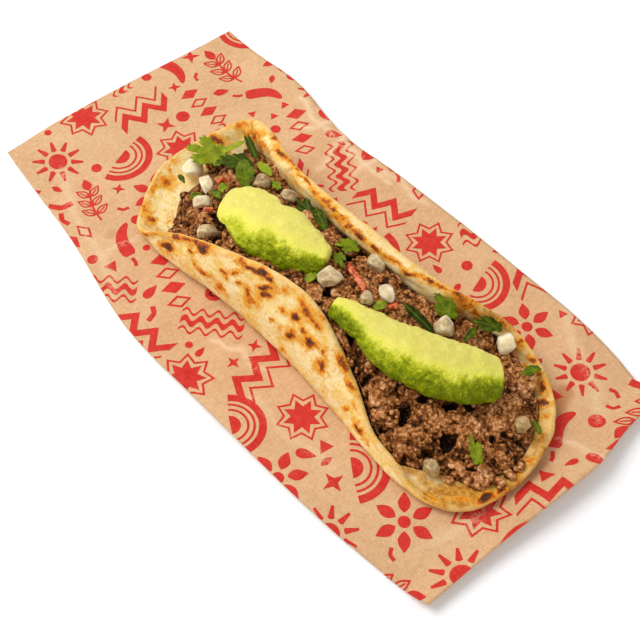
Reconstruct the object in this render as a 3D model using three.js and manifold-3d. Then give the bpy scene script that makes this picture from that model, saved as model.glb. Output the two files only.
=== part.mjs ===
// A soft flour-tortilla taco lying open on its printed paper: ground beef, avocado, onion, herbs and tomato.
// Millimetres, +Z up. X runs along the paper's long side, and the origin is under the middle of the paper.
import * as THREE from 'three';
import { mergeVertices } from 'three/addons/utils/BufferGeometryUtils.js';
import Module from 'manifold-3d';

const wasm = await Module();
wasm.setup();

// ---- driving dimensions --------------------------------------------------------------------------------

const clearance = 0.3; // gap between touching pieces
const sheet = {
  thickness: 0.6,
  halfLength: 135.5,
  halfWidth: 68.2,
  columns: 26,
  rows: 10,
  flatLeft: 100, // how far the flat middle reaches to the left, to the right and to either side
  flatRight: 119,
  flatWidth: 46,
};
const bread = {
  length: 203.8, // an 8 inch tortilla
  middle: 0.5,
  thickness: 2.6,
  footInset: 9, // how far the foot of the wall stays inside each tip
  spineInset: 42,
  spineAcross: -6,
  lipWidth: 5, // the far wall's rolled lip
  lipRise: 5.5,
  around: 28, // cells from tip to tip along each wall
  inward: 10, // cells from the rim to the middle of the floor
};
const place = { along: 18.7, across: -3.0, turn: 1.6 }; // the taco on its paper, mm and degrees
const filling = {
  steps: 5, // cells from its edge to the middle
  leastDepth: 0.4, // where it is shallower than this, it ends
  leftSlope: 22, // how gently it runs out at either end
  rightSlope: 16,
};
const crumb = {
  count: 97,
  smallest: 2.4,
  largest: 4.6,
  spacing: 0.62, // closest centres, as a share of the two radii
  left: -92,
  right: 102,
  near: -32,
  far: 34,
  seed: 7,
};

const undersideZ = sheet.thickness + clearance;
const plateZ = undersideZ + bread.thickness;

// The tortilla's rim, tip to tip: distance along the taco, across it, and height.
const nearRim = [
  [-101.4, 0, 6], [-97.2, -12, 5.5], [-91, -21, 5], [-80, -32, 6], [-68, -29.5, 13], [-44.2, -25.6, 26],
  [-29.9, -23.9, 32], [-17.6, -21.8, 36], [-5.5, -19.5, 38], [9.3, -17.5, 37], [21.5, -18.2, 32],
  [35, -20.6, 21], [42.9, -23.2, 16], [52.3, -27, 11], [68.8, -29.5, 8], [81.7, -31.2, 5],
  [92, -27.6, 4.5], [98.6, -20.2, 4.5], [102.4, 0, 4.8],
];
const farRim = [
  [-101.4, 0, 6], [-99.2, 18, 9], [-94, 26.7, 13], [-86.8, 34.3, 18], [-78, 34.8, 21.5], [-67, 32.5, 24],
  [-44.5, 25.3, 28], [-25.4, 22.9, 31.5], [-12, 22.5, 33], [1, 22.8, 33], [13.4, 23.8, 31.5],
  [24.6, 25.3, 29.5], [32.6, 27.4, 27.5], [40.1, 30.7, 25], [47.1, 34.5, 22], [55.1, 38.2, 18.5],
  [64.9, 39.5, 14], [76.7, 38.3, 10], [87.5, 33.2, 7.5], [99, 19, 6], [102.4, 0, 4.8],
];
// The corner between wall and floor: along, across.
const nearFoot = [
  [-101.4, 0], [-91, -18], [-75, -31], [-57, -31], [-39, -29], [0, -28.5], [40, -30], [60, -31.5],
  [80, -31], [95, -19], [102.4, 0],
];
const farFoot = [
  [-101.4, 0], [-96, 16], [-86, 26], [-66, 26], [-42, 21.5], [-22, 20], [4, 19.5], [27, 21], [41, 24.5],
  [53, 29], [65, 31], [77, 30], [88, 25.5], [98, 14], [102.4, 0],
];
// The filling's height: along, by the near wall, in the middle, by the far wall.
const fillLevels = [
  [-90, 8, 11, 13], [-75, 9, 15, 15], [-62, 12, 21, 18], [-44, 20, 28, 22], [-28, 26, 32, 25],
  [-10, 31, 34, 26], [9, 32, 33, 26], [24, 26, 31, 24], [38, 17, 26, 20], [52, 10, 21, 16],
  [66, 8, 17, 12], [80, 7, 14, 10], [92, 6, 11, 8], [102, 5, 8, 6],
];
const fillNear = [[-90, -24], [-60, -26], [-40, -25], [0, -21], [30, -22], [60, -27], [80, -26], [102, -15]];
const fillFar = [
  [-90, 27], [-66, 26], [-42, 21], [-22, 19], [4, 18.5], [27, 20], [41, 24], [53, 28], [65, 30], [88, 26],
  [102, 12],
];
// Where the filling ends on the floor: across, along.
const fillLeft = [[-30, -70], [-18, -75], [-10, -82], [0, -84], [10, -84], [20, -86], [30, -88]];
const fillRight = [[-30, 66], [-24, 75], [-18, 84], [-10, 95], [0, 99], [16, 98], [27, 92], [34, 80]];

// ---- small tools ---------------------------------------------------------------------------------------

function clamp(x, low, high) {
  return Math.min(Math.max(x, low), high);
}

function smoothstep(low, high, x) {
  const t = clamp((x - low) / (high - low), 0, 1);
  return t * t * (3 - 2 * t);
}

function randomFrom(seed) {
  let state = seed >>> 0;
  return () => {
    state = (state + 0x6d2b79f5) >>> 0;
    let t = state;
    t = Math.imul(t ^ (t >>> 15), t | 1);
    t ^= t + Math.imul(t ^ (t >>> 7), t | 61);
    return ((t ^ (t >>> 14)) >>> 0) / 4294967296;
  };
}

// A smooth curve through [x, y] knots, with the slopes taken from the neighbours.
function through(knots, x) {
  const last = knots.length - 1;
  const at = clamp(x, knots[0][0], knots[last][0]);
  let k = 0;
  while (k < last - 1 && knots[k + 1][0] < at) k += 1;
  const step = (i) => knots[i + 1][0] - knots[i][0];
  const rise = (i) => (knots[i + 1][1] - knots[i][1]) / step(i);
  const slope = (i) => {
    if (i === 0) return rise(0);
    if (i === last) return rise(last - 1);
    return (rise(i - 1) * step(i) + rise(i) * step(i - 1)) / (step(i - 1) + step(i));
  };
  const h = step(k);
  const t = (at - knots[k][0]) / h;
  return (
    knots[k][1] * (2 * t ** 3 - 3 * t ** 2 + 1) +
    slope(k) * h * (t ** 3 - 2 * t ** 2 + t) +
    knots[k + 1][1] * (3 * t ** 2 - 2 * t ** 3) +
    slope(k + 1) * h * (t ** 3 - t ** 2)
  );
}

function column(rows, j) {
  return rows.map((row) => [row[0], row[j]]);
}

// A table along the taco, read by the angle round the tortilla, so that it stays smooth at the tips.
function byAngle(rows, j) {
  const angle = (along) => Math.acos(clamp((along - bread.middle) / (bread.length / 2), -1, 1));
  return rows.map((row) => [angle(row[0]), row[j]]).reverse();
}

function geometryOf(points, triangles) {
  const geometry = new THREE.BufferGeometry();
  const numbers = points.flatMap((p) => [p.x, p.y, p.z]);
  geometry.setAttribute('position', new THREE.Float32BufferAttribute(numbers, 3));
  geometry.setIndex(triangles.flat());
  return geometry;
}

// A closed skin of the given thickness round a surface: both faces have the same triangles.
function thicken(surface, thickness) {
  const merged = mergeVertices(surface, 1e-4);
  merged.computeVertexNormals();
  const position = merged.attributes.position;
  const normal = merged.attributes.normal;
  const count = position.count;
  const points = [];
  for (const side of [1, -1]) {
    for (let i = 0; i < count; i += 1) {
      const p = new THREE.Vector3().fromBufferAttribute(position, i);
      const n = new THREE.Vector3().fromBufferAttribute(normal, i);
      points.push(p.addScaledVector(n, (side * thickness) / 2));
    }
  }
  const triangles = [];
  const edges = new Map();
  const index = merged.index.array;
  for (let i = 0; i < index.length; i += 3) {
    const [a, b, c] = [index[i], index[i + 1], index[i + 2]];
    if (a === b || b === c || c === a) continue;
    triangles.push([a, b, c], [c + count, b + count, a + count]);
    for (const [p, q] of [[a, b], [b, c], [c, a]]) {
      if (!edges.delete(`${q}_${p}`)) edges.set(`${p}_${q}`, [p, q]);
    }
  }
  for (const [p, q] of edges.values()) triangles.push([q, p, p + count], [q, p + count, q + count]);
  return geometryOf(points, triangles);
}

function toManifold(geometry) {
  const plain = geometry.clone();
  plain.deleteAttribute('normal');
  plain.deleteAttribute('uv');
  const merged = mergeVertices(plain, 1e-4);
  const mesh = new wasm.Mesh({
    numProp: 3,
    vertProperties: new Float32Array(merged.attributes.position.array),
    triVerts: new Uint32Array(merged.index.array),
  });
  return new wasm.Manifold(mesh);
}

function fromManifold(solid) {
  const mesh = solid.getMesh();
  const geometry = new THREE.BufferGeometry();
  geometry.setAttribute('position', new THREE.BufferAttribute(new Float32Array(mesh.vertProperties), 3));
  geometry.setIndex(new THREE.BufferAttribute(new Uint32Array(mesh.triVerts), 1));
  return geometry;
}

function largestPiece(solid) {
  return solid.decompose().reduce((best, piece) => (piece.volume() > best.volume() ? piece : best));
}

// ---- paper ---------------------------------------------------------------------------------------------

// Where the sheet's edges run, for a place from -1 to 1 along the edge.
function frontEdge(s) {
  const bow = [[-1, 12.4], [-0.6, 8.2], [-0.17, 0], [0.15, 1.2], [0.7, 6], [1, 11.5]];
  return -sheet.halfWidth + through(bow, s);
}

function backEdge(s) {
  return through([[-1, 67], [-0.6, 68.2], [-0.36, 63.8], [-0.1, 66], [0.4, 68], [0.75, 67.4], [1, 61]], s);
}

function leftEdge(s) {
  return -sheet.halfLength + 2.6 * s ** 2;
}

function rightEdge(s) {
  return sheet.halfLength + through([[-1, -4], [-0.5, -3], [0.1, -0.6], [0.35, 0], [0.7, -3], [1, -4]], s);
}

// How far the edges curl off the table, from the sheet's flat middle outwards.
function paperLift(x, y) {
  const endwise = smoothstep(x < 0 ? sheet.flatLeft : sheet.flatRight, sheet.halfLength, Math.abs(x));
  const sideways = smoothstep(sheet.flatWidth, sheet.halfWidth, Math.abs(y));
  const rightCurl = x > 0 ? 6.5 + 1.5 * Math.sin(y / 21 + 1.2) : 0;
  const leftCurl = x < 0 ? 2.6 - 1.2 * Math.sin(y / 26) : 0;
  const backCurl = y > 0 ? 2.2 + 1.8 * Math.cos((x + 78) / 15) * smoothstep(0, -110, x) : 0;
  const frontCurl = y < 0 ? 1.4 + 0.9 * Math.sin(x / 24) : 0;
  return endwise * (rightCurl + leftCurl) + sideways * (backCurl + frontCurl) * (1 - 0.4 * endwise);
}

function paperPoint(s, t) {
  const x = THREE.MathUtils.lerp(leftEdge(t), rightEdge(t), (s + 1) / 2);
  const y = THREE.MathUtils.lerp(frontEdge(s), backEdge(s), (t + 1) / 2);
  return new THREE.Vector3(x, y, sheet.thickness / 2 + paperLift(x, y));
}

function paperGeometry() {
  const points = [];
  const triangles = [];
  for (let i = 0; i <= sheet.columns; i += 1) {
    for (let j = 0; j <= sheet.rows; j += 1) {
      points.push(paperPoint((2 * i) / sheet.columns - 1, (2 * j) / sheet.rows - 1));
    }
  }
  for (let i = 0; i < sheet.columns; i += 1) {
    for (let j = 0; j < sheet.rows; j += 1) {
      const a = i * (sheet.rows + 1) + j;
      const b = a + sheet.rows + 1;
      triangles.push([a, b, b + 1], [a, b + 1, a + 1]);
    }
  }
  return thicken(geometryOf(points, triangles), sheet.thickness);
}

// ---- tortilla ------------------------------------------------------------------------------------------

// From the rim in to the middle of the floor: the six control points of one smooth profile.
function profileControls(side, angle) {
  const rim = side < 0 ? nearRim : farRim;
  const foot = side < 0 ? nearFoot : farFoot;
  const half = bread.length / 2;
  const midZ = undersideZ + bread.thickness / 2;
  const along = (inset) => bread.middle + (half - inset) * Math.cos(angle);
  const [rimAcross, rimZ] = [1, 2].map((j) => through(byAngle(rim, j), angle));
  const edge = new THREE.Vector3(along(0), rimAcross, rimZ);
  const corner = new THREE.Vector3(along(bread.footInset), through(byAngle(foot, 1), angle), midZ);
  const spine = new THREE.Vector3(along(bread.spineInset), bread.spineAcross, midZ);
  const lip = side < 0 ? 0 : smoothstep(-92, -70, edge.x) * (1 - smoothstep(30, 62, edge.x));
  const bulge = 1.5 * smoothstep(8, 22, edge.z);
  const wall = corner.clone().lerp(edge, 0.5);
  wall.y += side * bulge - 0.5 * bread.lipWidth * lip;
  const ridge = corner.clone().lerp(edge, 0.85);
  ridge.y -= bread.lipWidth * lip;
  ridge.z += bread.lipRise * lip;
  return [edge, ridge, wall, corner, corner.clone().lerp(spine, 0.5), spine];
}

// A smooth curve drawn by its control points, from the first (0) to the last (1).
function alongControls(controls, t) {
  const spans = controls.length - 2;
  const k = Math.min(Math.floor(t * spans), spans - 1);
  const w = t * spans - k;
  const [a, b, c] = [controls[k], controls[k + 1], controls[k + 2]];
  const start = k === 0 ? a : a.clone().lerp(b, 0.5);
  const end = k === spans - 1 ? c : b.clone().lerp(c, 0.5);
  return new THREE.QuadraticBezierCurve3(start, b, end).getPoint(w);
}

// The tortilla's middle surface: rays from the rim inwards, all the way round from the right tip.
function breadNet() {
  const rays = [];
  for (let i = 0; i < 2 * bread.around; i += 1) {
    const side = i < bread.around ? -1 : 1;
    const angle = (Math.PI * (side < 0 ? i : 2 * bread.around - i)) / bread.around;
    const controls = profileControls(side, angle);
    const ray = [];
    for (let j = 0; j <= bread.inward; j += 1) ray.push(alongControls(controls, j / bread.inward));
    rays.push(ray);
  }
  return rays;
}

function netGeometry(rays) {
  const size = rays[0].length;
  const triangles = [];
  rays.forEach((ray, i) => {
    const next = ((i + 1) % rays.length) * size;
    for (let j = 0; j < size - 1; j += 1) {
      const a = i * size + j;
      const b = next + j;
      triangles.push([a, a + 1, b + 1], [a, b + 1, b]);
    }
  });
  return geometryOf(rays.flat(), triangles);
}

function tortillaGeometry(thickness) {
  return thicken(netGeometry(breadNet()), thickness);
}

// ---- filling -------------------------------------------------------------------------------------------

// The top of the bare filling over a place on the taco.
function fillTop(along, across) {
  const [near, crown, far] = [1, 2, 3].map((j) => through(column(fillLevels, j), along));
  const low = through(fillNear, along);
  const high = through(fillFar, along);
  const w = clamp((across - (low + high) / 2) / ((high - low) / 2), -1.3, 1.3);
  const level = crown + ((far - near) / 2) * w + ((near + far) / 2 - crown) * w * w;
  const ease = (x) => (x < 0 ? x : Math.sin((clamp(x, 0, 1) * Math.PI) / 2));
  const left = ease((along - through(fillLeft, across)) / filling.leftSlope);
  const right = ease((through(fillRight, across) - along) / filling.rightSlope);
  return plateZ + (level - plateZ) * Math.min(left, right);
}

// The tortilla's upward normal at a point of its net, which is flat in the middle of the floor.
function netNormal(rays, i, j) {
  if (j === bread.inward) return new THREE.Vector3(0, 0, 1);
  const before = rays[(i + rays.length - 1) % rays.length][j];
  const after = rays[(i + 1) % rays.length][j];
  const inward = rays[i][j + 1].clone().sub(rays[i][Math.max(j - 1, 0)]);
  return inward.cross(after.clone().sub(before)).normalize();
}

// A place on a line of points, from its first (0) to its last (1).
function alongPoints(points, t) {
  const at = t * (points.length - 1);
  const low = Math.min(Math.floor(at), points.length - 2);
  return points[low].clone().lerp(points[low + 1], at - low);
}

// Rays of the filling's top and bottom, each from where it meets the tortilla in to the middle.
function fillRays() {
  const lift = bread.thickness / 2 + 2 * clearance;
  const net = breadNet();
  return net.map((ray, i) => {
    const inner = ray.map((p, j) => p.clone().addScaledVector(netNormal(net, i, j), lift));
    const depth = inner.map((p) => fillTop(p.x, p.y) - p.z);
    let j = 1;
    while (j < inner.length - 2 && depth[j] < filling.leastDepth) j += 1;
    const part = clamp((filling.leastDepth - depth[j - 1]) / (depth[j] - depth[j - 1]), 0, 1);
    const start = inner[j - 1].clone().lerp(inner[j], part);
    const floor = [start, ...inner.slice(j)];
    const top = [];
    const bottom = [];
    for (let k = 0; k <= filling.steps; k += 1) {
      const over = start.clone().lerp(inner[inner.length - 1], k / filling.steps);
      if (k > 0) over.z = fillTop(over.x, over.y);
      top.push(over);
      bottom.push(alongPoints(floor, k / filling.steps));
    }
    return { top, bottom };
  });
}

function fillCore(rays) {
  const size = rays[0].top.length;
  const points = rays.flatMap((ray) => [...ray.top, ...ray.bottom]);
  const triangles = [];
  rays.forEach((ray, i) => {
    const here = i * 2 * size;
    const next = ((i + 1) % rays.length) * 2 * size;
    for (let j = 0; j < size - 1; j += 1) {
      triangles.push([here + j, here + j + 1, next + j + 1], [here + j, next + j + 1, next + j]);
      const [a, b] = [here + size + j, next + size + j];
      triangles.push([a, b + 1, a + 1], [a, b, b + 1]);
    }
  });
  return geometryOf(points, triangles);
}

function crumbGeometry(random, radius) {
  const geometry = new THREE.IcosahedronGeometry(radius, 0);
  geometry.deleteAttribute('normal');
  geometry.deleteAttribute('uv');
  const merged = mergeVertices(geometry, 1e-4);
  const position = merged.attributes.position;
  for (let i = 0; i < position.count; i += 1) {
    const grow = 0.78 + 0.4 * random();
    position.setXYZ(i, position.getX(i) * grow, position.getY(i) * grow, position.getZ(i) * grow);
  }
  merged.rotateX(random() * Math.PI);
  merged.rotateZ(random() * 2 * Math.PI);
  merged.scale(1, 1, 0.8);
  return merged;
}

// Crumbs sit over the filling's top, spread by area. One that would cross a topping or a wall is left out.
function crumbs(rays, taken) {
  const random = randomFrom(crumb.seed);
  const between = (low, high) => THREE.MathUtils.lerp(low, high, random());
  const placed = [];
  const solids = [];
  for (let tries = 0; placed.length < crumb.count && tries < 30 * crumb.count; tries += 1) {
    const along = between(crumb.left, crumb.right);
    const across = between(crumb.near, crumb.far);
    const radius = THREE.MathUtils.lerp(crumb.smallest, crumb.largest, random() ** 2);
    const height = fillTop(along, across);
    const clear = (p) => Math.hypot(p.along - along, p.across - across) > crumb.spacing * (p.radius + radius);
    if (height < plateZ + 1 || !placed.every(clear) || !insideRays(rays, along, across, radius / 2)) continue;
    const geometry = crumbGeometry(random, radius);
    geometry.translate(along, across, height + between(0.1, 0.4) * radius);
    const solid = toManifold(geometry);
    if (!solid.intersect(taken).isEmpty()) continue;
    placed.push({ along, across, radius });
    solids.push(solid);
  }
  return solids;
}

// Whether a place lies inside the ring where the filling meets the tortilla, by at least a margin.
function insideRays(rays, along, across, margin) {
  let inside = false;
  let nearest = Infinity;
  rays.forEach((ray, i) => {
    const a = ray.top[0];
    const b = rays[(i + 1) % rays.length].top[0];
    const crossing = a.x + ((b.x - a.x) * (across - a.y)) / (b.y - a.y);
    if (a.y > across !== b.y > across && along < crossing) inside = !inside;
    const length = Math.max(a.distanceToSquared(b), 1e-9);
    const t = clamp(((along - a.x) * (b.x - a.x) + (across - a.y) * (b.y - a.y)) / length, 0, 1);
    nearest = Math.min(nearest, Math.hypot(a.x + t * (b.x - a.x) - along, a.y + t * (b.y - a.y) - across));
  });
  return inside && nearest > margin;
}

// ---- toppings ------------------------------------------------------------------------------------------

// A peeled avocado wedge: rounded skin side down and to the front, flatter cut face up.
const avocados = [
  {
    name: 'avocado_1',
    spine: [
      [-46.5, -8.6, 32.2], [-39.5, -7.4, 34.2], [-32.5, -7.5, 35.2], [-25.5, -7.6, 35.6], [-18, -6.2, 35.6],
      [-11, -5, 35.4], [-5, -3.6, 35], [-0.5, -1.8, 34.5],
    ],
    across: [4.8, 8.8, 10.9, 11.3, 12.2, 11.3, 8.9, 5.4],
    deep: [4, 5.6, 6.8, 7.4, 7.7, 7.4, 6.2, 4.4],
    roll: 20,
  },
  {
    name: 'avocado_2',
    spine: [
      [18.5, -12.6, 33.6], [30.5, -8.6, 32.4], [41, -7, 30.8], [51.5, -2.8, 28.8], [61.3, 3.4, 26],
      [68.8, 10.2, 23.6], [73, 15.2, 22],
    ],
    across: [4.4, 6.1, 8.9, 10.2, 11, 9, 5.2],
    deep: [3.6, 5.2, 6.7, 7.7, 8, 7.2, 4.8],
    roll: 22,
  },
];
const wedge = { stations: 13, around: 14, cutFace: 0.62 };

function avocadoGeometry(piece, grow) {
  const points = piece.spine.map((p) => new THREE.Vector3(...p));
  const curve = new THREE.CatmullRomCurve3(points, false, 'chordal');
  const knots = (values) => values.map((value, i) => [i / (values.length - 1), value]);
  const roll = THREE.MathUtils.degToRad(piece.roll);
  const rings = [];
  for (let i = 0; i <= wedge.stations; i += 1) {
    const t = i / wedge.stations;
    const centre = curve.getPoint(t);
    const tangent = curve.getTangent(t);
    const side = new THREE.Vector3(-tangent.y, tangent.x, 0).normalize();
    const up = new THREE.Vector3().crossVectors(tangent, side).normalize();
    const wide = through(knots(piece.across), t) + grow;
    const high = through(knots(piece.deep), t) + grow;
    const ring = [];
    for (let k = 0; k < wedge.around; k += 1) {
      const angle = (2 * Math.PI * k) / wedge.around;
      const x = wide * Math.cos(angle);
      const y = high * Math.sin(angle) * (Math.sin(angle) > 0 ? wedge.cutFace : 1);
      ring.push(
        centre
          .clone()
          .addScaledVector(side, x * Math.cos(roll) - y * Math.sin(roll))
          .addScaledVector(up, x * Math.sin(roll) + y * Math.cos(roll)),
      );
    }
    rings.push(ring);
  }
  const cap = (t, sign) => curve.getPoint(t).addScaledVector(curve.getTangent(t), sign * (2.2 + grow));
  return loft(rings, cap(0, -1), cap(1, 1));
}

// A closed body through rings of points, with a pointed cap at each end.
function loft(rings, first, last) {
  const size = rings[0].length;
  const points = [...rings.flat(), first, last];
  const [firstAt, lastAt] = [points.length - 2, points.length - 1];
  const triangles = [];
  for (let k = 0; k < size; k += 1) {
    const next = (k + 1) % size;
    for (let i = 0; i < rings.length - 1; i += 1) {
      const [a, b, c, d] = [i * size + k, i * size + next, (i + 1) * size + k, (i + 1) * size + next];
      triangles.push([a, b, d], [a, d, c]);
    }
    triangles.push([firstAt, next, k]);
    triangles.push([lastAt, (rings.length - 1) * size + k, (rings.length - 1) * size + next]);
  }
  return geometryOf(points, triangles);
}

// Onion dice: along, across, height of the middle, length, width, thickness, turn, tilt.
const onions = [
  [-87.8, 2.9, 9.4, 9.4, 8, 4.6, 54, 8], [-72.4, -0.6, 14.6, 9.4, 5.2, 4.4, -26, 10],
  [-61.2, -10.8, 21.6, 8, 4.8, 4, 50, 10], [-47.6, -19.8, 23, 8.4, 5.4, 4.2, 45, -12],
  [-49.4, 10.3, 27, 6.4, 6, 4.6, 34, 6], [-35.9, 12.3, 28.6, 6.8, 5.4, 4, 31, 14],
  [7.6, -5.4, 35.8, 8.8, 7, 5, 50, 4], [24.6, 7.2, 31.2, 8, 5.8, 3.6, -29, 10],
  [22.4, -1.4, 34.2, 5.4, 4.4, 3.4, 33, 0], [47.4, 15.2, 23.6, 7.4, 6.8, 4.2, 48, 8],
  [63.2, 32.2, 15.8, 7.6, 6, 5, -30, 16], [11.4, 14.6, 30.2, 8, 5, 3.6, -3, 20],
  [77.6, -21.4, 8.2, 6, 4.6, 3.6, 15, -6], [89.4, 13.2, 12.2, 6, 5, 4, 65, 4],
];

function onionGeometry([, , , length, width, thickness], seed, grow) {
  const random = randomFrom(seed);
  const size = [length, width, thickness].map((side) => side + 2 * grow);
  const geometry = new THREE.BoxGeometry(...size, 2, 2, 1);
  geometry.deleteAttribute('normal');
  geometry.deleteAttribute('uv');
  const merged = mergeVertices(geometry, 1e-4);
  const position = merged.attributes.position;
  for (let i = 0; i < position.count; i += 1) {
    const [x, y, z] = [position.getX(i) / length, position.getY(i) / width, position.getZ(i)];
    const pinch = 1 - 0.12 * random() - 0.3 * Math.abs(x * y);
    const bend = 0.16 * length * (0.25 - x * x);
    position.setXYZ(i, position.getX(i) * pinch, position.getY(i) * pinch, z + bend);
  }
  return merged;
}

// Herb leaves: along, across, height, length, width, turn of the tip, tilt along, tilt across, curl.
const leaves = [
  [-88.9, 9.9, 14.2, 16.4, 12, -150, 0, -10, 1.2], [-68.1, 10.7, 22.6, 15, 10.6, -131, -6, 10, 1.4],
  [-73.2, 24.8, 18, 16, 3.6, 158, -3, -30, 0.4], [-55.8, 17.6, 24.2, 11.6, 3.6, -6, 8, 14, 0.5],
  [-68.3, -9.7, 17.6, 5.6, 3.2, -99, -10, 0, 1], [-60, -5.2, 22.6, 8.6, 3.2, -6, 10, 0, 1],
  [-27, 12.8, 30.2, 9.6, 5.8, 179, -3, -12, 0.9], [-18.2, 13.6, 30, 12, 4.4, 156, -6, -14, 0.8],
  [-1.1, 10.6, 31.6, 8.7, 6.4, -130, 3, 0, 1], [3.4, 3.6, 33.6, 8, 4.6, -31, 3, 0, 0.7],
  [27.6, 1.2, 32.5, 5, 4, 71, -5, 0, 0.4], [38.8, 9.3, 28.6, 15, 4, -177, 10, 0, 0.6],
  [40, 21.9, 24.9, 10.8, 7.6, 165, 9, -14, 0.9], [54.2, 30, 20.6, 11.4, 5.2, -145, 7, -20, 0.7],
  [53.9, 22.5, 21, 8.6, 3.2, -75, 6, 0, 0.5], [76.8, 31, 13.2, 9.2, 3.8, -106, 8, 0, 0.6],
  [85.4, -8.8, 15.8, 9.4, 4.6, 156, 16, 0, 0.9], [93.4, 16.2, 11.8, 5.6, 2.4, 158, 5, 0, 0.4],
  [-58.7, 9.2, 25.6, 18, 7.4, -35, 6, 0, 1], [-78.9, 19.3, 17.8, 10.6, 3, 70, 8, 0, 0.5],
  [-84.6, -4.8, 11.6, 5.4, 2.4, -13, 3, 0, 0.4], [-59.6, -1, 24.8, 4.6, 3.4, 102, 6, 0, 0.5],
  [-44.6, 13.6, 27.4, 5.4, 3.2, 171, -10, 0, 0.4], [2.4, -9.6, 34.4, 5, 3.8, 83, 0, 0, 0.4],
];
// A leaf's lobed edge, as reaches from its base by the angle from its tip, with its middle and half sizes.
const leafSkin = {
  thickness: 0.6,
  edge: [[0, 1], [28, 0.6], [55, 0.97], [87, 0.55], [112, 0.6], [152, 0.26], [180, 0.16]],
  middle: 0.42,
  halfLength: 0.58,
  halfWidth: 0.82,
};

function leafGeometry([, , , length, width, , , , curl], grow) {
  const { edge, middle, halfLength, halfWidth, thickness } = leafSkin;
  const wave = (x, y) => curl * (Math.sin((2.6 * x) / length + 0.6) + 2.8 * (y / width) ** 2);
  const point = (x, y) => new THREE.Vector3(x, y, wave(x, y));
  const rim = [...edge, ...edge.slice(1, -1).reverse().map(([angle, reach]) => [-angle, reach])];
  const points = rim.map(([angle, reach]) => {
    const [c, s] = [Math.cos(THREE.MathUtils.degToRad(angle)), Math.sin(THREE.MathUtils.degToRad(angle))];
    const x = ((reach * c - middle) / halfLength) * (length / 2) + grow * c;
    return point(x, (reach * s * width) / 2 / halfWidth + grow * s);
  });
  points.push(point((-middle / halfLength) * (length / 2), 0));
  const triangles = rim.map((_, k) => [k, (k + 1) % rim.length, rim.length]);
  return thicken(geometryOf(points, triangles), thickness + 2 * grow);
}

// Tomato strips: along, across, height of the middle, length, width, thickness, turn, tilt.
const tomatoes = [
  [12.4, 3.4, 32.4, 15, 2.8, 2, -24, -2], [29.8, 5.2, 30.4, 4, 3, 2, 20, 0],
  [-65, 2.2, 21.6, 4.6, 2.8, 2, 20, 0], [-54.4, -13.4, 25.4, 3.6, 2.6, 2, 0, 0],
];

function tomatoGeometry([, , , length, width, thickness], grow) {
  const cells = Math.max(2, Math.round(length / 3));
  const size = [length, width, thickness].map((side) => side + 2 * grow);
  const geometry = new THREE.BoxGeometry(...size, cells, 1, 1);
  geometry.deleteAttribute('normal');
  geometry.deleteAttribute('uv');
  const merged = mergeVertices(geometry, 1e-4);
  const position = merged.attributes.position;
  for (let i = 0; i < position.count; i += 1) {
    const x = position.getX(i) / length;
    const slim = 1 - 1.1 * x * x;
    position.setY(i, position.getY(i) * slim + 0.8 * Math.sin(5 * x));
    position.setZ(i, position.getZ(i) + 0.25 * Math.cos(7 * x));
  }
  return merged;
}

function settled(geometry, [along, across, height], turn, tiltAlong, tiltAcross) {
  const degrees = THREE.MathUtils.degToRad;
  geometry.rotateY(degrees(-tiltAlong));
  geometry.rotateX(degrees(tiltAcross));
  geometry.rotateZ(degrees(turn));
  geometry.translate(along, across, height);
  return geometry;
}

// Every topping with its plain shape and its shape grown by the clearance.
function toppingList() {
  const list = [];
  const named = (kind, i) => `${kind}_${String(i + 1).padStart(2, '0')}`;
  const add = (name, material, make) => list.push({ name, material, plain: make(0), grown: make(clearance) });
  avocados.forEach((piece) => add(piece.name, looks.avocado, (grow) => avocadoGeometry(piece, grow)));
  onions.forEach((row, i) => {
    const make = (grow) => settled(onionGeometry(row, 31 + i, grow), row, row[6], 0, row[7]);
    add(named('onion', i), looks.onion, make);
  });
  leaves.forEach((row, i) => {
    const make = (grow) => settled(leafGeometry(row, grow), row, row[5], row[6], row[7]);
    add(named('cilantro', i), looks.leaf, make);
  });
  tomatoes.forEach((row, i) => {
    const make = (grow) => settled(tomatoGeometry(row, grow), row, row[6], row[7], 0);
    add(named('tomato', i), looks.tomato, make);
  });
  return list;
}

// ---- assembly ------------------------------------------------------------------------------------------

const looks = {
  paper: new THREE.MeshStandardMaterial({ color: 0xd6a878, roughness: 0.8, metalness: 0 }),
  bread: new THREE.MeshStandardMaterial({ color: 0xf2dcae, roughness: 0.8, metalness: 0 }),
  beef: new THREE.MeshStandardMaterial({ color: 0x8a5f4c, roughness: 0.6, metalness: 0 }),
  avocado: new THREE.MeshStandardMaterial({ color: 0xcdd84a, roughness: 0.5, metalness: 0 }),
  onion: new THREE.MeshStandardMaterial({ color: 0xe6e0cc, roughness: 0.4, metalness: 0 }),
  leaf: new THREE.MeshStandardMaterial({ color: 0x4c8a2a, roughness: 0.5, metalness: 0 }),
  tomato: new THREE.MeshStandardMaterial({ color: 0xc65a34, roughness: 0.4, metalness: 0 }),
};

function beefGeometry(toppings) {
  const rays = fillRays();
  const grown = toppings.map((topping) => toManifold(topping.grown));
  const bed = grown.reduce((left, cutter) => left.subtract(cutter), toManifold(fillCore(rays)));
  const wall = toManifold(tortillaGeometry(bread.thickness + 2 * clearance));
  const taken = grown.reduce((sum, piece) => sum.add(piece), wall);
  return fromManifold(largestPiece(crumbs(rays, taken).reduce((sum, piece) => sum.add(piece), bed)));
}

function addMesh(group, name, geometry, material) {
  const mesh = new THREE.Mesh(geometry, material);
  mesh.name = name;
  group.add(mesh);
}

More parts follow.
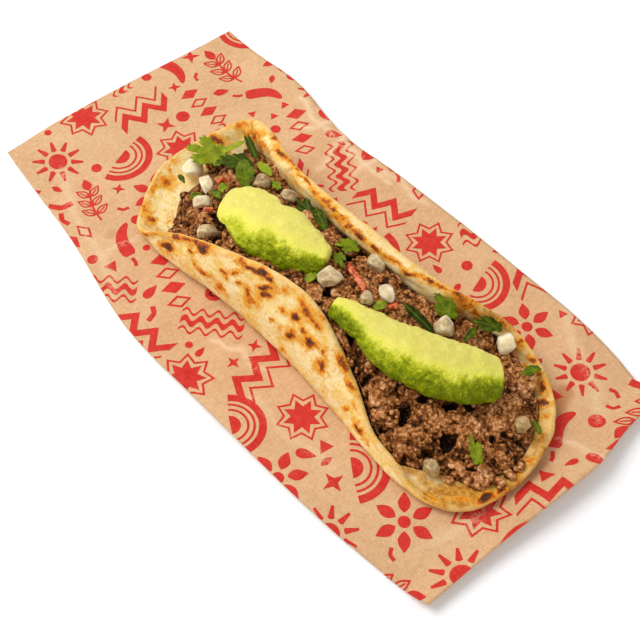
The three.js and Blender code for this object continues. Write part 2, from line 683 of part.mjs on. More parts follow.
const taco = new THREE.Group();
taco.position.set(place.along, place.across, 0);
taco.rotation.z = THREE.MathUtils.degToRad(place.turn);
const toppings = toppingList();
addMesh(taco, 'tortilla', tortillaGeometry(bread.thickness), looks.bread);
addMesh(taco, 'beef', beefGeometry(toppings), looks.beef);
toppings.forEach((topping) => addMesh(taco, topping.name, topping.plain, topping.material));

const whole = new THREE.Group();
addMesh(whole, 'paper', paperGeometry(), looks.paper);
whole.add(taco);

export default whole;
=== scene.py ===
import math

import bmesh
import bpy
import numpy as np
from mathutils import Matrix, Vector
from mathutils.bvhtree import BVHTree


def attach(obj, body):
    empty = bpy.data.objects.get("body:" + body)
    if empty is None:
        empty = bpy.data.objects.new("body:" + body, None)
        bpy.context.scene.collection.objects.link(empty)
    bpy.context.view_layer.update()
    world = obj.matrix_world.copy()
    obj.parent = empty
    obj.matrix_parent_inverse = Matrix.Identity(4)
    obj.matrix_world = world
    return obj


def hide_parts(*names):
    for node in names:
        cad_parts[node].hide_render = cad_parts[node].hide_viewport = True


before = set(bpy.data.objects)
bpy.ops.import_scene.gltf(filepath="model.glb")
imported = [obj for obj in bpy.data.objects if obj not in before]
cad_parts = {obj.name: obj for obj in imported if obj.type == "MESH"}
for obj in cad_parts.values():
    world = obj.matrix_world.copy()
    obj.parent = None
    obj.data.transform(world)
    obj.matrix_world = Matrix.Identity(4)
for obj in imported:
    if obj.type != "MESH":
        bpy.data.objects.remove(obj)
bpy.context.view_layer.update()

# Shapes are worked out in millimetres, most of them in the taco's own frame: along it, across it, up.
mm = 0.001
print("frame loaded:", len(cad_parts), "nodes")


# Curves and noise.

def smoothStep(low, high, x):
    t = np.clip((x - low) / (high - low), 0, 1)
    return t * t * (3 - 2 * t)


def mixed(a, b, t):
    return a + (b - a) * t


def unit(vectors):
    return vectors / np.maximum(np.linalg.norm(vectors, axis=-1, keepdims=True), 1e-9)


def ovalReach(offset, length, width, turn):
    # How far places lie from the middle of a turned oval, given its half sizes: 1 on its edge.
    c, s = math.cos(math.radians(turn)), math.sin(math.radians(turn))
    x, y = offset[..., 0], offset[..., 1]
    return np.hypot((x * c + y * s) / length, (y * c - x * s) / width)


def through(knots, x):
    # A smooth curve through (x, y) knots, with the slopes taken from the neighbours.
    knotX, knotY = np.array(knots, float).T
    step = np.diff(knotX)
    rise = np.diff(knotY) / step
    slope = np.empty_like(knotX)
    slope[0], slope[-1] = rise[0], rise[-1]
    slope[1:-1] = (rise[:-1] * step[1:] + rise[1:] * step[:-1]) / (step[:-1] + step[1:])
    at = np.clip(x, knotX[0], knotX[-1])
    k = np.clip(np.searchsorted(knotX, at) - 1, 0, len(step) - 1)
    h = step[k]
    t = (at - knotX[k]) / h
    value = knotY[k] * (2 * t ** 3 - 3 * t ** 2 + 1) + slope[k] * h * (t ** 3 - 2 * t ** 2 + t)
    return value + knotY[k + 1] * (3 * t ** 2 - 2 * t ** 3) + slope[k + 1] * h * (t ** 3 - t ** 2)


def hashed(cell, seed):
    # A repeatable random number from 0 to 1 for each whole-number cell.
    word = 0xFFFFFFFF
    h = cell[..., 0] * 374761393 + cell[..., 1] * 668265263 + cell[..., 2] * 1442695041 + seed * 362437
    h = ((h & word) ^ ((h & word) >> 13)) * 1274126177 & word
    h = ((h ^ (h >> 15)) * 668265263) & word
    return ((h ^ (h >> 16)) & 0xFFFFFF) / 0xFFFFFF


def softNoise(points, size, seed):
    # Smooth noise from -1 to 1, with lumps about as wide as size.
    p = np.asarray(points, float) / size
    cell = np.floor(p).astype(np.int64)
    f = p - cell
    f = f * f * (3 - 2 * f)
    total = np.zeros(p.shape[:-1])
    for corner in np.ndindex(2, 2, 2):
        weight = np.prod(np.where(np.array(corner) == 1, f, 1 - f), axis=-1)
        total += weight * hashed(cell + np.array(corner), seed)
    return 2 * total - 1


def cellNoise(points, size, seed):
    # Distance to the nearest of scattered centres, in sizes.
    p = np.asarray(points, float) / size
    cell = np.floor(p).astype(np.int64)
    nearest = np.full(p.shape[:-1], 9.0)
    for offset in np.ndindex(3, 3, 3):
        there = cell + np.array(offset) - 1
        jitter = np.stack([hashed(there, seed + k) for k in range(3)], -1)
        nearest = np.minimum(nearest, np.linalg.norm(there + jitter - p, axis=-1))
    return nearest


def layered(points, size, seed, layers=3):
    return sum(softNoise(points, size / 2 ** k, seed + k) / 2 ** k for k in range(layers))


def bent(points, size, amount, seed):
    # The same places, each shifted a little by noise, so that patterns on them don't look regular.
    return points + amount * np.stack([softNoise(points, size, seed + k) for k in range(3)], -1)


def domes(points, size, seed, reach=0.78):
    # Round bumps packed side by side: 1 on top of each, 0 in the creases between them.
    return np.sqrt(np.clip(1 - (cellNoise(points, size, seed) / reach) ** 2, 0, 1))


# Colours are given as they show on a screen, from 0 to 255.

def shade(red, green, blue):
    def linear(c):
        return c / 12.92 if c <= 0.04045 else ((c + 0.055) / 1.055) ** 2.4
    return (linear(red / 255), linear(green / 255), linear(blue / 255), 1.0)


# Meshes.

def makeObject(name, points, faces, material, layers=None, slotName=None, replaced=()):
    mesh = bpy.data.meshes.new(name)
    mesh.from_pydata((np.asarray(points, float) * mm).tolist(), [], [tuple(f) for f in faces])
    mesh.validate()
    mesh.shade_smooth()
    for layer, values in (layers or {}).items():
        attribute = mesh.attributes.new(layer, "FLOAT", "POINT")
        attribute.data.foreach_set("value", np.asarray(values, np.float32))
    mesh.materials.append(material)
    made = bpy.data.objects.new(name, mesh)
    bpy.context.scene.collection.objects.link(made)
    if slotName:
        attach(made, "root")
    if replaced:
        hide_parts(*replaced)
    return made


def gridFaces(rows, columns, wrapRows=False, wrapColumns=False):
    # Quads over a grid of points held row by row.
    i = np.arange(rows if wrapRows else rows - 1)
    j = np.arange(columns if wrapColumns else columns - 1)
    a, b = np.meshgrid(i, j, indexing="ij")
    nextA, nextB = (a + 1) % rows, (b + 1) % columns
    corners = [(a, b), (nextA, b), (nextA, nextB), (a, nextB)]
    return np.stack([down * columns + over for down, over in corners], -1).reshape(-1, 4)


def discFaces(rings, around):
    # Rings of quads, closed by a fan to one last point in the middle.
    last = (rings - 1) * around
    fan = [(last + k, rings * around, last + (k + 1) % around) for k in range(around)]
    return [tuple(f) for f in gridFaces(rings, around, wrapColumns=True)] + fan


def tubeFaces(stations, around):
    # A tube of quads, each end closed by a fan to a point that follows the others.
    first = stations * around
    base = first - around
    faces = [tuple(f) for f in gridFaces(stations, around, wrapColumns=True)]
    faces += [(first, k, (k + 1) % around) for k in range(around)]
    faces += [(first + 1, base + (k + 1) % around, base + k) for k in range(around)]
    return [f[::-1] for f in faces]


def capped(points):
    # A tube's points, ring by ring, and then the middles of its two ends.
    return np.vstack([points.reshape(-1, 3), points[0].mean(axis=0), points[-1].mean(axis=0)])


def turned(points, axis, degrees):
    # Points turned about X, Y or Z (0, 1 or 2).
    c, s = math.cos(math.radians(degrees)), math.sin(math.radians(degrees))
    a, b = [(1, 2), (2, 0), (0, 1)][axis]
    x, y = points[..., a], points[..., b]
    out = np.array(points, float)
    out[..., a], out[..., b] = x * c - y * s, x * s + y * c
    return out


def settled(points, middle, turn, tiltAlong, tiltAcross):
    points = turned(points, 1, -tiltAlong)
    points = turned(points, 0, tiltAcross)
    return turned(points, 2, turn) + np.array(middle, float)


tacoPlace = {"middle": (18.7, -3.0, 0), "turn": 1.6}


def onPaper(points):
    # From the taco's own frame to the part's frame.
    return turned(np.asarray(points, float), 2, tacoPlace["turn"]) + tacoPlace["middle"]


def offPaper(points):
    return turned(np.asarray(points, float) - tacoPlace["middle"], 2, -tacoPlace["turn"])


# The camera comes first, as marks on the bread are placed by where they lie in its frame of 640 by 640.

lens = {
    "place": (190.3, -154.8, 340.0),
    "heading": 49.13,  # degrees from +Y towards -X
    "down": 56.54,
    "focal": 1030.0,  # in pixels
    "frame": 640.0,
    "sensor": 36.0,
}


def makeCamera():
    data = bpy.data.cameras.new("camera")
    data.sensor_width = lens["sensor"]
    data.lens = lens["sensor"] * lens["focal"] / lens["frame"]
    data.clip_start = 0.01
    made = bpy.data.objects.new("camera", data)
    made.location = Vector(lens["place"]) * mm
    made.rotation_euler = (math.radians(90 - lens["down"]), 0, math.radians(lens["heading"]))
    bpy.context.scene.collection.objects.link(made)
    bpy.context.scene.camera = made
    bpy.context.view_layer.update()
    return made


camera = makeCamera()
cameraBasis = np.array(camera.matrix_world)[:3, :3]  # columns: right, up, back


def pixelOf(points):
    local = (np.asarray(points, float) - lens["place"]) @ cameraBasis
    flat = lens["focal"] * np.stack([local[..., 0], -local[..., 1]], -1) / -local[..., 2:3]
    return lens["frame"] / 2 + flat


def rayOf(pixel):
    x, y = (np.array(pixel, float) - lens["frame"] / 2) / lens["focal"]
    direction = cameraBasis @ np.array([x, -y, -1.0])
    return Vector(lens["place"]), Vector(direction).normalized()


def onTable(pixel, height=0.0):
    start, direction = rayOf(pixel)
    reach = (height - start.z) / direction.z
    return np.array(start + direction * reach)


# Shader maths: a wire is one output of a node, and sums on wires add their Math nodes.

class Wire:
    def __init__(self, finish, socket):
        self.finish = finish
        self.socket = socket

    def sum(self, operation, *values):
        return self.finish.node("Math", {"operation": operation}, dict(enumerate(values)))

    def __add__(self, other):
        return self.sum("ADD", self, other)

    def __sub__(self, other):
        return self.sum("SUBTRACT", self, other)

    def __rsub__(self, other):
        return self.sum("SUBTRACT", other, self)

    def __mul__(self, other):
        return self.sum("MULTIPLY", self, other)

    __radd__ = __add__
    __rmul__ = __mul__

    def clipped(self):
        return self.finish.node("Clamp", {}, {"Value": self})

    def between(self, low, high):
        # 0 at low, 1 at high, smooth in between.
        limits = {"Value": self, "From Min": low, "From Max": high}
        return self.finish.node("MapRange", {"interpolation_type": "SMOOTHSTEP"}, limits)


def setStops(marks, stops):
    while len(marks) < len(stops):
        marks.new(0.5)
    for mark, (position, colour) in zip(marks, stops):
        mark.position = position
        mark.color = shade(*colour)


class Finish:
    # One material. Its pattern is laid out in millimetres over the object's own coordinates.
    def __init__(self, name, roughness, **constants):
        self.material = bpy.data.materials.new(name)
        self.material.use_nodes = True
        self.tree = self.material.node_tree
        self.shader = self.tree.nodes["Principled BSDF"]
        self.feed("Roughness", roughness)
        for socketName, value in constants.items():
            self.shader.inputs[socketName.replace("_", " ")].default_value = value
        self.place = self.node("TexCoord", {}, {}, "Object")

    def node(self, kind, settings, values, output=0):
        made = self.tree.nodes.new("ShaderNode" + kind)
        for key, value in settings.items():
            if key == "stops":
                setStops(made.color_ramp.elements, value)
            else:
                setattr(made, key, value)
        for key, value in values.items():
            if isinstance(value, Wire):
                self.tree.links.new(value.socket, made.inputs[key])
            else:
                made.inputs[key].default_value = value
        return Wire(self, made.outputs[output])

    def feed(self, socketName, value):
        if isinstance(value, Wire):
            self.tree.links.new(value.socket, self.shader.inputs[socketName])
        else:
            self.shader.inputs[socketName].default_value = value

    def scaled(self, stretch):
        return self.node("VectorMath", {"operation": "MULTIPLY"}, {0: self.place, 1: stretch})

    def noise(self, size, detail=3.0, stretch=(1, 1, 1)):
        # size in millimetres, stretch as how much finer it is along each axis
        place = self.scaled(stretch)
        values = {"Vector": place, "Scale": 1 / (size * mm), "Detail": detail, "Roughness": 0.55}
        return self.node("TexNoise", {}, values)

    def knobs(self, size, bend=0.4):
        # Round knobs packed side by side: about 1 on top of each, 0 between them. bend is in sizes.
        wide = size * mm
        noise = self.node("TexNoise", {}, {"Vector": self.place, "Scale": 0.6 / wide, "Detail": 2.0}, 1)
        shift = self.node("VectorMath", {"operation": "SUBTRACT"}, {0: noise, 1: (0.5, 0.5, 0.5)})
        amount = (2 * bend * wide,) * 3
        place = self.node("VectorMath", {"operation": "MULTIPLY_ADD"}, {0: shift, 1: amount, 2: self.place})
        return 1 - self.node("TexVoronoi", {}, {"Vector": place, "Scale": 1 / wide}, "Distance") * 1.35

    def layer(self, name):
        return self.node("Attribute", {"attribute_name": name}, {}, "Fac")

    def ramp(self, value, stops):
        return self.node("ValToRGB", {"stops": stops}, {"Fac": value})

    def threads(self, across, scale):
        # Noise that changes with the values of a mesh layer alone, so that it shows as lines.
        values = {"W": self.layer(across) * 9 + 4, "Scale": scale}
        return self.node("TexNoise", {"noise_dimensions": "1D"}, values)

    def blend(self, share, a, b):
        # a and b are wires, or colours as they show on a screen
        a, b = (colour if isinstance(colour, Wire) else shade(*colour) for colour in (a, b))
        return self.node("Mix", {"data_type": "RGBA"}, {0: share, 6: a, 7: b}, 2)

    def bump(self, height, depth, strength=1.0, under=None):
        # depth in millimetres for a height that runs from 0 to 1
        values = {"Height": height, "Distance": depth * mm, "Strength": strength}
        if under:
            values["Normal"] = under
        return self.node("Bump", {}, values)


# Kraft paper: warm brown, with fine fibres, specks and soft clouds.

def kraftLook(paper):
    clouds = paper.noise(26, 3)
    fibres = paper.noise(0.9, 4, stretch=(0.35, 1.6, 1))
    crossFibres = paper.noise(1.1, 4, stretch=(1.5, 0.4, 1))
    specks = paper.noise(0.55, 1).between(0.66, 0.78)
    return clouds, fibres * 0.5 + crossFibres * 0.5, specks


def makeKraft():
    paper = Finish("kraftPaper", 0.72, Specular_IOR_Level=0.2)
    clouds, fibres, specks = kraftLook(paper)
    light = (232, 190, 144)
    dark = (190, 142, 98)
    colour = paper.blend((clouds * 0.7 + fibres * 1.7 - 0.68).clipped(), dark, light)
    colour = paper.blend(specks * 0.5, colour, (150, 100, 60))
    pale = paper.noise(0.8, 1, stretch=(0.5, 1.4, 1)).between(0.62, 0.76)
    colour = paper.blend(pale * 0.4, colour, (244, 212, 172))
    # lighter along the creases: worn paper, with a painted highlight on the folds
    colour = paper.blend(paper.layer("worn") * 0.5, colour, (248, 222, 186))
    # darker, glossier brown patches beside the taco
    colour = paper.blend(paper.layer("grease") * 0.7, colour, (176, 112, 58))
    paper.feed("Base Color", colour)
    paper.feed("Roughness", 0.74 - paper.layer("grease") * 0.3)
    paper.feed("Normal", paper.bump(fibres, 0.06, 0.7, paper.bump(clouds, 0.6, 0.4)))
    return paper.material


def makeInk():
    ink = Finish("redInk", 0.6, Specular_IOR_Level=0.2)
    clouds, fibres, specks = kraftLook(ink)
    mottle = ink.noise(3.2, 4)
    colour = ink.blend((mottle * 1.3 + clouds * 0.4 - 0.35).clipped(), (186, 30, 24), (214, 50, 38))
    colour = ink.blend((fibres * 2.2 - 1.0).clipped() * 0.5, colour, (236, 112, 88))
    colour = ink.blend(specks * 0.4, colour, (160, 34, 28))
    cracks = ink.layer("worn") * ink.noise(1.2, 3).between(0.42, 0.6)
    colour = ink.blend(cracks * 0.8, colour, (240, 196, 160))
    ink.feed("Base Color", colour)
    ink.feed("Normal", ink.bump(fibres, 0.06, 0.6))
    return ink.material


# The sheet of paper, with its edges curled off the table and a few creases.

sheet = {
    "thickness": 0.16,
    "underTaco": 0.6,  # height of its top face where the taco lies on it
    "top": 0.3,  # and away from the taco
    "halfLength": 135.5,
    "halfWidth": 68.2,
    "flatLeft": 100,
    "flatRight": 119,
    "flatWidth": 46,
    "tacoOval": (106, 41),  # half sizes of the oval under the taco, where the sheet has no waves
    "waves": (0.24, 0.32),  # heights of the broad and the narrow ones
    "wander": 0.5,  # how far a crease strays from a straight line, in its widths
    # the worn line is also painted lighter on the bare paper, as a painted highlight
    "wornAndHighlightWidth": 0.6,  # how wide the worn line along it is, in its widths
    "columns": 170,
    "rows": 86,
    # creases: from pixel, to pixel, height and width in mm
    "creases": [
        ((338, 128), (300, 132), 0.6, 1.8),
        ((345, 140), (318, 172), 0.55, 1.8),
        ((330, 118), (352, 160), 0.7, 2.0),
        ((300, 105), (330, 140), 0.5, 2.2),
        ((346, 150), (388, 188), 0.5, 1.8),
        ((352, 178), (384, 158), 0.45, 1.7),
        ((384, 174), (424, 208), 0.4, 1.8),
        ((214, 343), (243, 352), 0.5, 1.7),
        ((236, 350), (262, 372), 0.45, 1.7),
        ((560, 438), (598, 468), 0.4, 1.8),
        ((96, 262), (140, 236), 0.35, 1.8),
        ((60, 175), (118, 300), 0.25, 3.0),
        ((440, 545), (520, 470), 0.25, 3.5),
        ((560, 300), (600, 420), 0.25, 3.0),
        ((250, 400), (330, 470), 0.2, 3.0),
    ],
}


def frontEdge(s):
    bow = [(-1, 12.4), (-0.6, 8.2), (-0.17, 0), (0.15, 1.2), (0.7, 6), (1, 11.5)]
    return -sheet["halfWidth"] + through(bow, s)


def backEdge(s):
    bow = [(-1, 67), (-0.6, 68.2), (-0.36, 63.8), (-0.1, 66), (0.4, 68), (0.75, 67.4), (1, 61)]
    return through(bow, s)


def leftEdge(s):
    return -sheet["halfLength"] + 2.6 * s ** 2


def rightEdge(s):
    bow = [(-1, -4), (-0.5, -3), (0.1, -0.6), (0.35, 0), (0.7, -3), (1, -4)]
    return sheet["halfLength"] + through(bow, s)


def paperLift(x, y):
    # How far the edges curl off the table, from the sheet's flat middle outwards.
    flatEnd = np.where(x < 0, sheet["flatLeft"], sheet["flatRight"])
    endwise = smoothStep(flatEnd, sheet["halfLength"], np.abs(x))
    sideways = smoothStep(sheet["flatWidth"], sheet["halfWidth"], np.abs(y))
    rightCurl = np.where(x > 0, 6.5 + 1.5 * np.sin(y / 21 + 1.2), 0)
    leftCurl = np.where(x < 0, 2.6 - 1.2 * np.sin(y / 26), 0)
    backWave = 1.8 * np.cos((x + 78) / 15) * (1 - smoothStep(-110, 0, x))
    backCurl = np.where(y > 0, 2.2 + backWave, 0)
    frontCurl = np.where(y < 0, 1.4 + 0.9 * np.sin(x / 24), 0)
    return endwise * (rightCurl + leftCurl) + sideways * (backCurl + frontCurl) * (1 - 0.4 * endwise)


def creasesOn(x, y):
    # How far the creases stand up, and how worn and lightened the paper is along them, from 0 to 1: real
    # wear, and on the bare paper also a painted highlight.
    rise, worn = np.zeros_like(x), np.zeros_like(x)
    for start, end, height, width in sheet["creases"]:
        a, b = onTable(start)[:2], onTable(end)[:2]
        run = b - a
        t = np.clip(((x - a[0]) * run[0] + (y - a[1]) * run[1]) / (run @ run), 0, 1)
        wander = sheet["wander"] * width * np.sin(2.6 * math.pi * t + height * 20)
        side = ((x - a[0]) * run[1] - (y - a[1]) * run[0]) / math.hypot(*run)
        past = np.hypot(x - a[0] - t * run[0], y - a[1] - t * run[1]) - np.abs(side)
        off = np.abs(side - wander) + np.maximum(past, 0)
        rise = rise + height * np.exp(-(off / width) ** 1.5)
        worn = np.maximum(worn, min(1, 2 * height) * np.exp(-(off / (sheet["wornAndHighlightWidth"] * width)) ** 2))
    return rise, worn


def paperTop(x, y):
    # Height of the paper's top face, with its waves and creases, which fade out under the taco.
    flat = np.stack([x, y, np.zeros_like(x)], -1)
    own = offPaper(flat)
    away = smoothStep(0.92, 1.3, ovalReach(own, *sheet["tacoOval"], 0))
    base = mixed(sheet["underTaco"], sheet["top"], away) + paperLift(x, y)
    broad = 1 + softNoise(flat, 30, 3)
    narrow = 1 - np.abs(softNoise(flat, 17, 8))
    waves = sheet["waves"][0] * broad + sheet["waves"][1] * narrow
    return base + away * (waves + creasesOn(x, y)[0])


def paperGrid(columns, rows):
    s, t = np.meshgrid(np.linspace(-1, 1, columns + 1), np.linspace(-1, 1, rows + 1), indexing="ij")
    x = mixed(leftEdge(t), rightEdge(t), (s + 1) / 2)
    y = mixed(frontEdge(s), backEdge(s), (t + 1) / 2)
    return x, y


def darkPatchesOn(x, y):
    # Darker, glossier brown patches on the paper: beside the taco's right tip, and one spot near the left
    # corner.
    # Each is given as pixel, length, width, turn and depth.
    spots = [((557, 405), 9, 20, 12, 1.0), ((112, 235), 6, 6, 0, 0.5), ((540, 470), 12, 9, 40, 0.35)]
    places = np.stack([x, y, x * 0], -1)
    ragged = 1 + 0.25 * softNoise(places, 6, 21)
    grease = np.zeros_like(x)
    for pixel, length, width, turn, depth in spots:
        reach = ovalReach(places - onTable(pixel, 0.6), length, width, turn) * 2 * ragged
        grease = np.maximum(grease, depth * (1 - smoothStep(0.7, 1.1, reach)))
    return grease


def makePaper(material):
    columns, rows = sheet["columns"], sheet["rows"]
    across, along = rows + 1, columns + 1
    x, y = paperGrid(columns, rows)
    top = np.stack([x, y, paperTop(x, y)], -1).reshape(-1, 3)
    bottom = top - (0, 0, sheet["thickness"])
    faces = gridFaces(along, across)
    count = len(top)
    front = np.arange(along) * across
    right = (along - 1) * across + np.arange(1, across)
    border = np.concatenate([front, right, front[-2::-1] + rows, np.arange(rows - 1, 0, -1)])
    after = np.roll(border, -1)
    rim = np.stack([border, border + count, after + count, after], -1)
    allFaces = np.concatenate([faces, faces[:, ::-1] + count, rim])
    layers = {"grease": np.tile(darkPatchesOn(x, y).ravel(), 2), "worn": np.tile(creasesOn(x, y)[1].ravel(), 2)}
    points = np.concatenate([top, bottom])
    makeObject("paperSheet", points, allFaces, material, layers, "kraft_paper", ["paper"])


# The print: flat patches and strokes of ink on the paper. A motif is a list of shapes, each as points in mm
# and faces.

printing = {
    "lift": 0.07,  # how far the ink's top stands above the paper
    "step": 1.1,  # longest step along an outline
    "thin": 1.0,
    "thick": 5.2,
    "cell": 27.5,  # spacing of the big motifs
    "rowStep": 0.84,  # from row to row of them, in cells
    "firstPlace": (-6, 5),
    "bigSizes": (0.86, 0.98),
    "spread": (140, 72),  # half sizes of the area that the small motifs are tried in
    "gap": 1.5,  # least bare paper between the small motifs and the rest
    "sizes": [(2.0, 60), (1.5, 160), (1.1, 400), (0.75, 900)],  # of small motifs, each with how many tries
    "grid": 0.5,
    "field": (160, 90),  # half sizes of the area that is filled
    "margin": 0.15,  # bare paper along the sheet's edge
    "coveredOval": (92, 26),  # half sizes of the oval under the taco that is left bare
    "seed": 12,
}


def leftOf(tangent):
    return np.stack([-tangent[:, 1], tangent[:, 0]], -1)


def stroke(path, width):
    # A ribbon along a path, with round ends.
    path = np.asarray(path, float)
    lengths = np.concatenate([[0], np.cumsum(np.linalg.norm(np.diff(path, axis=0), axis=1))])
    total = lengths[-1]
    r = width / 2
    inner = np.linspace(0, total, max(3, int(total / printing["step"]) + 1))
    cap = r * (1 - np.cos(np.linspace(0, math.pi / 2, 5)))
    at = np.concatenate([-r + cap, inner[1:-1], total + r - cap[::-1]])
    over = np.clip(np.maximum(-at, at - total), 0, r)
    half = np.sqrt(np.maximum(r ** 2 - over ** 2, 0))

    def pathAt(shift):
        along = np.clip(at + shift, 0, total)
        return np.stack([np.interp(along, lengths, path[:, k]) for k in range(2)], -1)

    here, ahead, behind = pathAt(0), pathAt(0.3), pathAt(-0.3)
    tangent = unit(ahead - behind)
    here = here + tangent * (np.minimum(at, 0) + np.maximum(at - total, 0))[:, None]
    side = leftOf(tangent)
    across = max(3, int(width / printing["step"]) | 1)
    spread = np.linspace(-1, 1, across)
    points = here[:, None] + side[:, None] * (half[:, None] * spread)[..., None]
    return points.reshape(-1, 2), gridFaces(len(at), across)


def band(x, y, width):
    # A strip along a line that runs from left to right, measured straight across it, up and down.
    lines = [np.stack([x, y + k * width / 2], -1) for k in (1, 0, -1)]
    return np.stack(lines, 1).reshape(-1, 2), gridFaces(len(x), 3)


def hoop(outline, width, middle=(0, 0)):
    # An outline alone, as a line about this wide.
    spokes = np.asarray(outline, float) - middle
    share = 1 - width / np.linalg.norm(spokes, axis=1).mean()
    return np.concatenate([spokes, spokes * share]) + middle, gridFaces(2, len(spokes), wrapColumns=True)


def patch(outline, middle=(0, 0)):
    # A filled shape that can be seen whole from its middle.
    outline = np.asarray(outline, float)
    middle = np.array(middle, float)
    size = np.linalg.norm(outline - middle, axis=1).max()
    rings = max(2, int(size / 1.6))
    scales = np.linspace(1, 0, rings + 1)[:-1]
    points = np.concatenate([middle + (outline - middle) * k for k in scales] + [middle[None]])
    return points, discFaces(rings, len(outline))


def arc(radius, start, end, middle=(0, 0), steps=28):
    angles = np.radians(np.linspace(start, end, steps))
    return np.stack([middle[0] + radius * np.cos(angles), middle[1] + radius * np.sin(angles)], -1)


def placed(shapes, x, y, turn=0.0, size=1.0):
    c, s = math.cos(math.radians(turn)), math.sin(math.radians(turn))
    spin = np.array([[c, s], [-s, c]])
    return [(points * size @ spin + (x, y), faces) for points, faces in shapes]


def sunMotif():
    # a disc inside a crown of wedge-shaped rays
    shapes = [patch(arc(4.2, 0, 350, steps=36))]
    wedge = patch([(-1.3, 0), (-0.5, 5.2), (0.5, 5.2), (1.3, 0), (0.4, -0.4), (-0.4, -0.4)], (0, 2))
    for k in range(10):
        shapes += placed([wedge], 6.2 * math.sin(k * math.pi / 5), 6.2 * math.cos(k * math.pi / 5), -36 * k)
    return shapes


def chilliMotif():
    t = np.linspace(0, 1, 26)
    spine = np.stack([-9 + 19 * t, 4.5 * np.sin(2.6 * t)], -1)
    width = 3.1 * np.sqrt(np.clip(1 - t ** 1.7, 0, 1)) * smoothStep(-0.15, 0.1, t) + 0.15
    side = leftOf(unit(np.gradient(spine, axis=0))) * width[:, None]
    body = np.stack([spine + side, spine, spine - side], 1)
    shapes = [(body.reshape(-1, 2), gridFaces(len(t), 3))]
    shapes.append(stroke([(-10.6, -0.6), (-13.2, -2.4), (-15.2, -2.6)], 1.7))
    return shapes


def leafOutline(length, width, steps=22):
    t = np.linspace(0, 1, steps)
    half = width / 2 * np.sin(math.pi * t ** 0.85)
    upper = np.stack([length * t, half], -1)
    lower = np.stack([length * t[::-1], -half[::-1]], -1)
    return np.vstack([upper[:-1], lower[:-1]])


def sprigMotif():
    # a thin stem with pairs of outlined leaves and a solid one at the end
    stem = np.stack([np.linspace(-13, 7, 20), 1.6 * np.sin(np.linspace(0, 3, 20))], -1)
    shapes = [stroke(stem, printing["thin"])]
    for k, x in enumerate((-9, -3, 3)):
        for sideways in (1, -1):
            leaf = hoop(leafOutline(8.5, 4.4), printing["thin"], (4.25, 0))
            vein = stroke([(1.8, 0), (5.8, 0)], printing["thin"] * 0.7)
            lift = 1.6 * math.sin((x + 13) / 20 * 3)
            shapes += placed([leaf, vein], x, lift, sideways * (52 - 4 * k))
    return shapes + placed([patch(leafOutline(8, 4.8), (4, 0))], 7.4, 0.4, 4)


def zigzagMotif():
    x = np.linspace(-14, 14, 61)
    y = 3.4 - 6.8 * np.abs((x / 5.6 + 0.5) % 2 - 1)
    return [band(x, y, printing["thick"] * 0.9), band(x, y + 6.8, printing["thin"] * 1.5)]


def starOutline(points, outer, inner):
    angles = np.pi * np.arange(2 * points) / points
    reach = np.where(np.arange(2 * points) % 2 == 0, outer, inner)
    return np.stack([reach * np.sin(angles), reach * np.cos(angles)], -1)


def densified(outline, step=1.2):
    outline = np.asarray(outline, float)
    out = []
    for a, b in zip(outline, np.roll(outline, -1, axis=0)):
        count = max(1, int(np.linalg.norm(b - a) / step))
        out += [a + (b - a) * k / count for k in range(count)]
    return np.array(out)


def starMotif():
    shapes = [patch(densified(starOutline(8, 8.6, 5.0)))]
    return shapes + [hoop(densified(starOutline(8, 12.2, 8.4)), printing["thin"] * 1.3)]


def diamondMotif():
    shapes = []
    for k, x in enumerate((-12, -4, 4, 12)):
        rhomb = densified([(0, 5.6), (3.3, 0), (0, -5.6), (-3.3, 0)])
        made = patch(rhomb) if k % 2 == 0 else hoop(rhomb, printing["thin"] * 1.3)
        shapes += placed([made], x, 0)
    return shapes


def fanMotif():
    # nested arches over a solid half disc
    shapes = [patch(np.vstack([arc(4.4, 0, 180), [(0, 0)]]), (0, 1.5))]
    thin, thick = printing["thin"], printing["thick"]
    for radius, width in ((7.4, thin), (10.0, thin), (13.4, thick * 0.62)):
        shapes.append(stroke(arc(radius, 4, 176), width))
    return shapes


def flowerMotif():
    shapes = [patch(arc(2.4, 0, 345, steps=24))]
    for k in range(6):
        petal = patch(leafOutline(8.2, 4.6), (4.6, 0))
        shapes += placed([petal], 3.6 * math.cos(k * math.pi / 3), 3.6 * math.sin(k * math.pi / 3), 60 * k)
    return shapes


def waveMotif():
    x = np.linspace(-14, 14, 70)
    thin, thick = printing["thin"] * 1.3, printing["thick"] * 0.62
    return [band(x, y + 1.6 * np.sin(x * 0.9), width) for y, width in ((-4.8, thin), (0, thick), (4.8, thin))]


def dropMotif():
    t = np.linspace(0, 2 * math.pi, 30)[:-1]
    outline = np.stack([2.5 * np.sin(t) * np.sin(t / 2) ** 1.2, 3.6 * np.cos(t)], -1)
    return [patch(outline, (0, -0.8))]


def tinyStarMotif():
    return [patch(densified(starOutline(4, 4.2, 1.5), 0.9))]


def dotMotif():
    return [patch(arc(2.1, 0, 345, steps=24))]


def crescentMotif():
    return [patch(np.vstack([arc(3.4, 20, 340, steps=30), arc(2.6, 320, 40, (1.9, 0), 20)]), (-2.4, 0))]


def tickMotif():
    # a short bent bar
    return [stroke([(-3.2, -1), (-0.6, 1), (3.2, 0.4)], 1.9)]


def smallLeafMotif():
    return placed([patch(leafOutline(7, 3.6), (3.5, 0))], -3.5, 0)


def triangleMotif():
    return [patch(densified([(0, 2.8), (2.6, -1.8), (-2.6, -1.8)], 0.9))]


bigMotifs = [
    sunMotif, zigzagMotif, sprigMotif, starMotif, chilliMotif, fanMotif, diamondMotif, flowerMotif, waveMotif,
]
smallMotifs = [dropMotif, tinyStarMotif, dotMotif, crescentMotif, tickMotif, smallLeafMotif, triangleMotif]


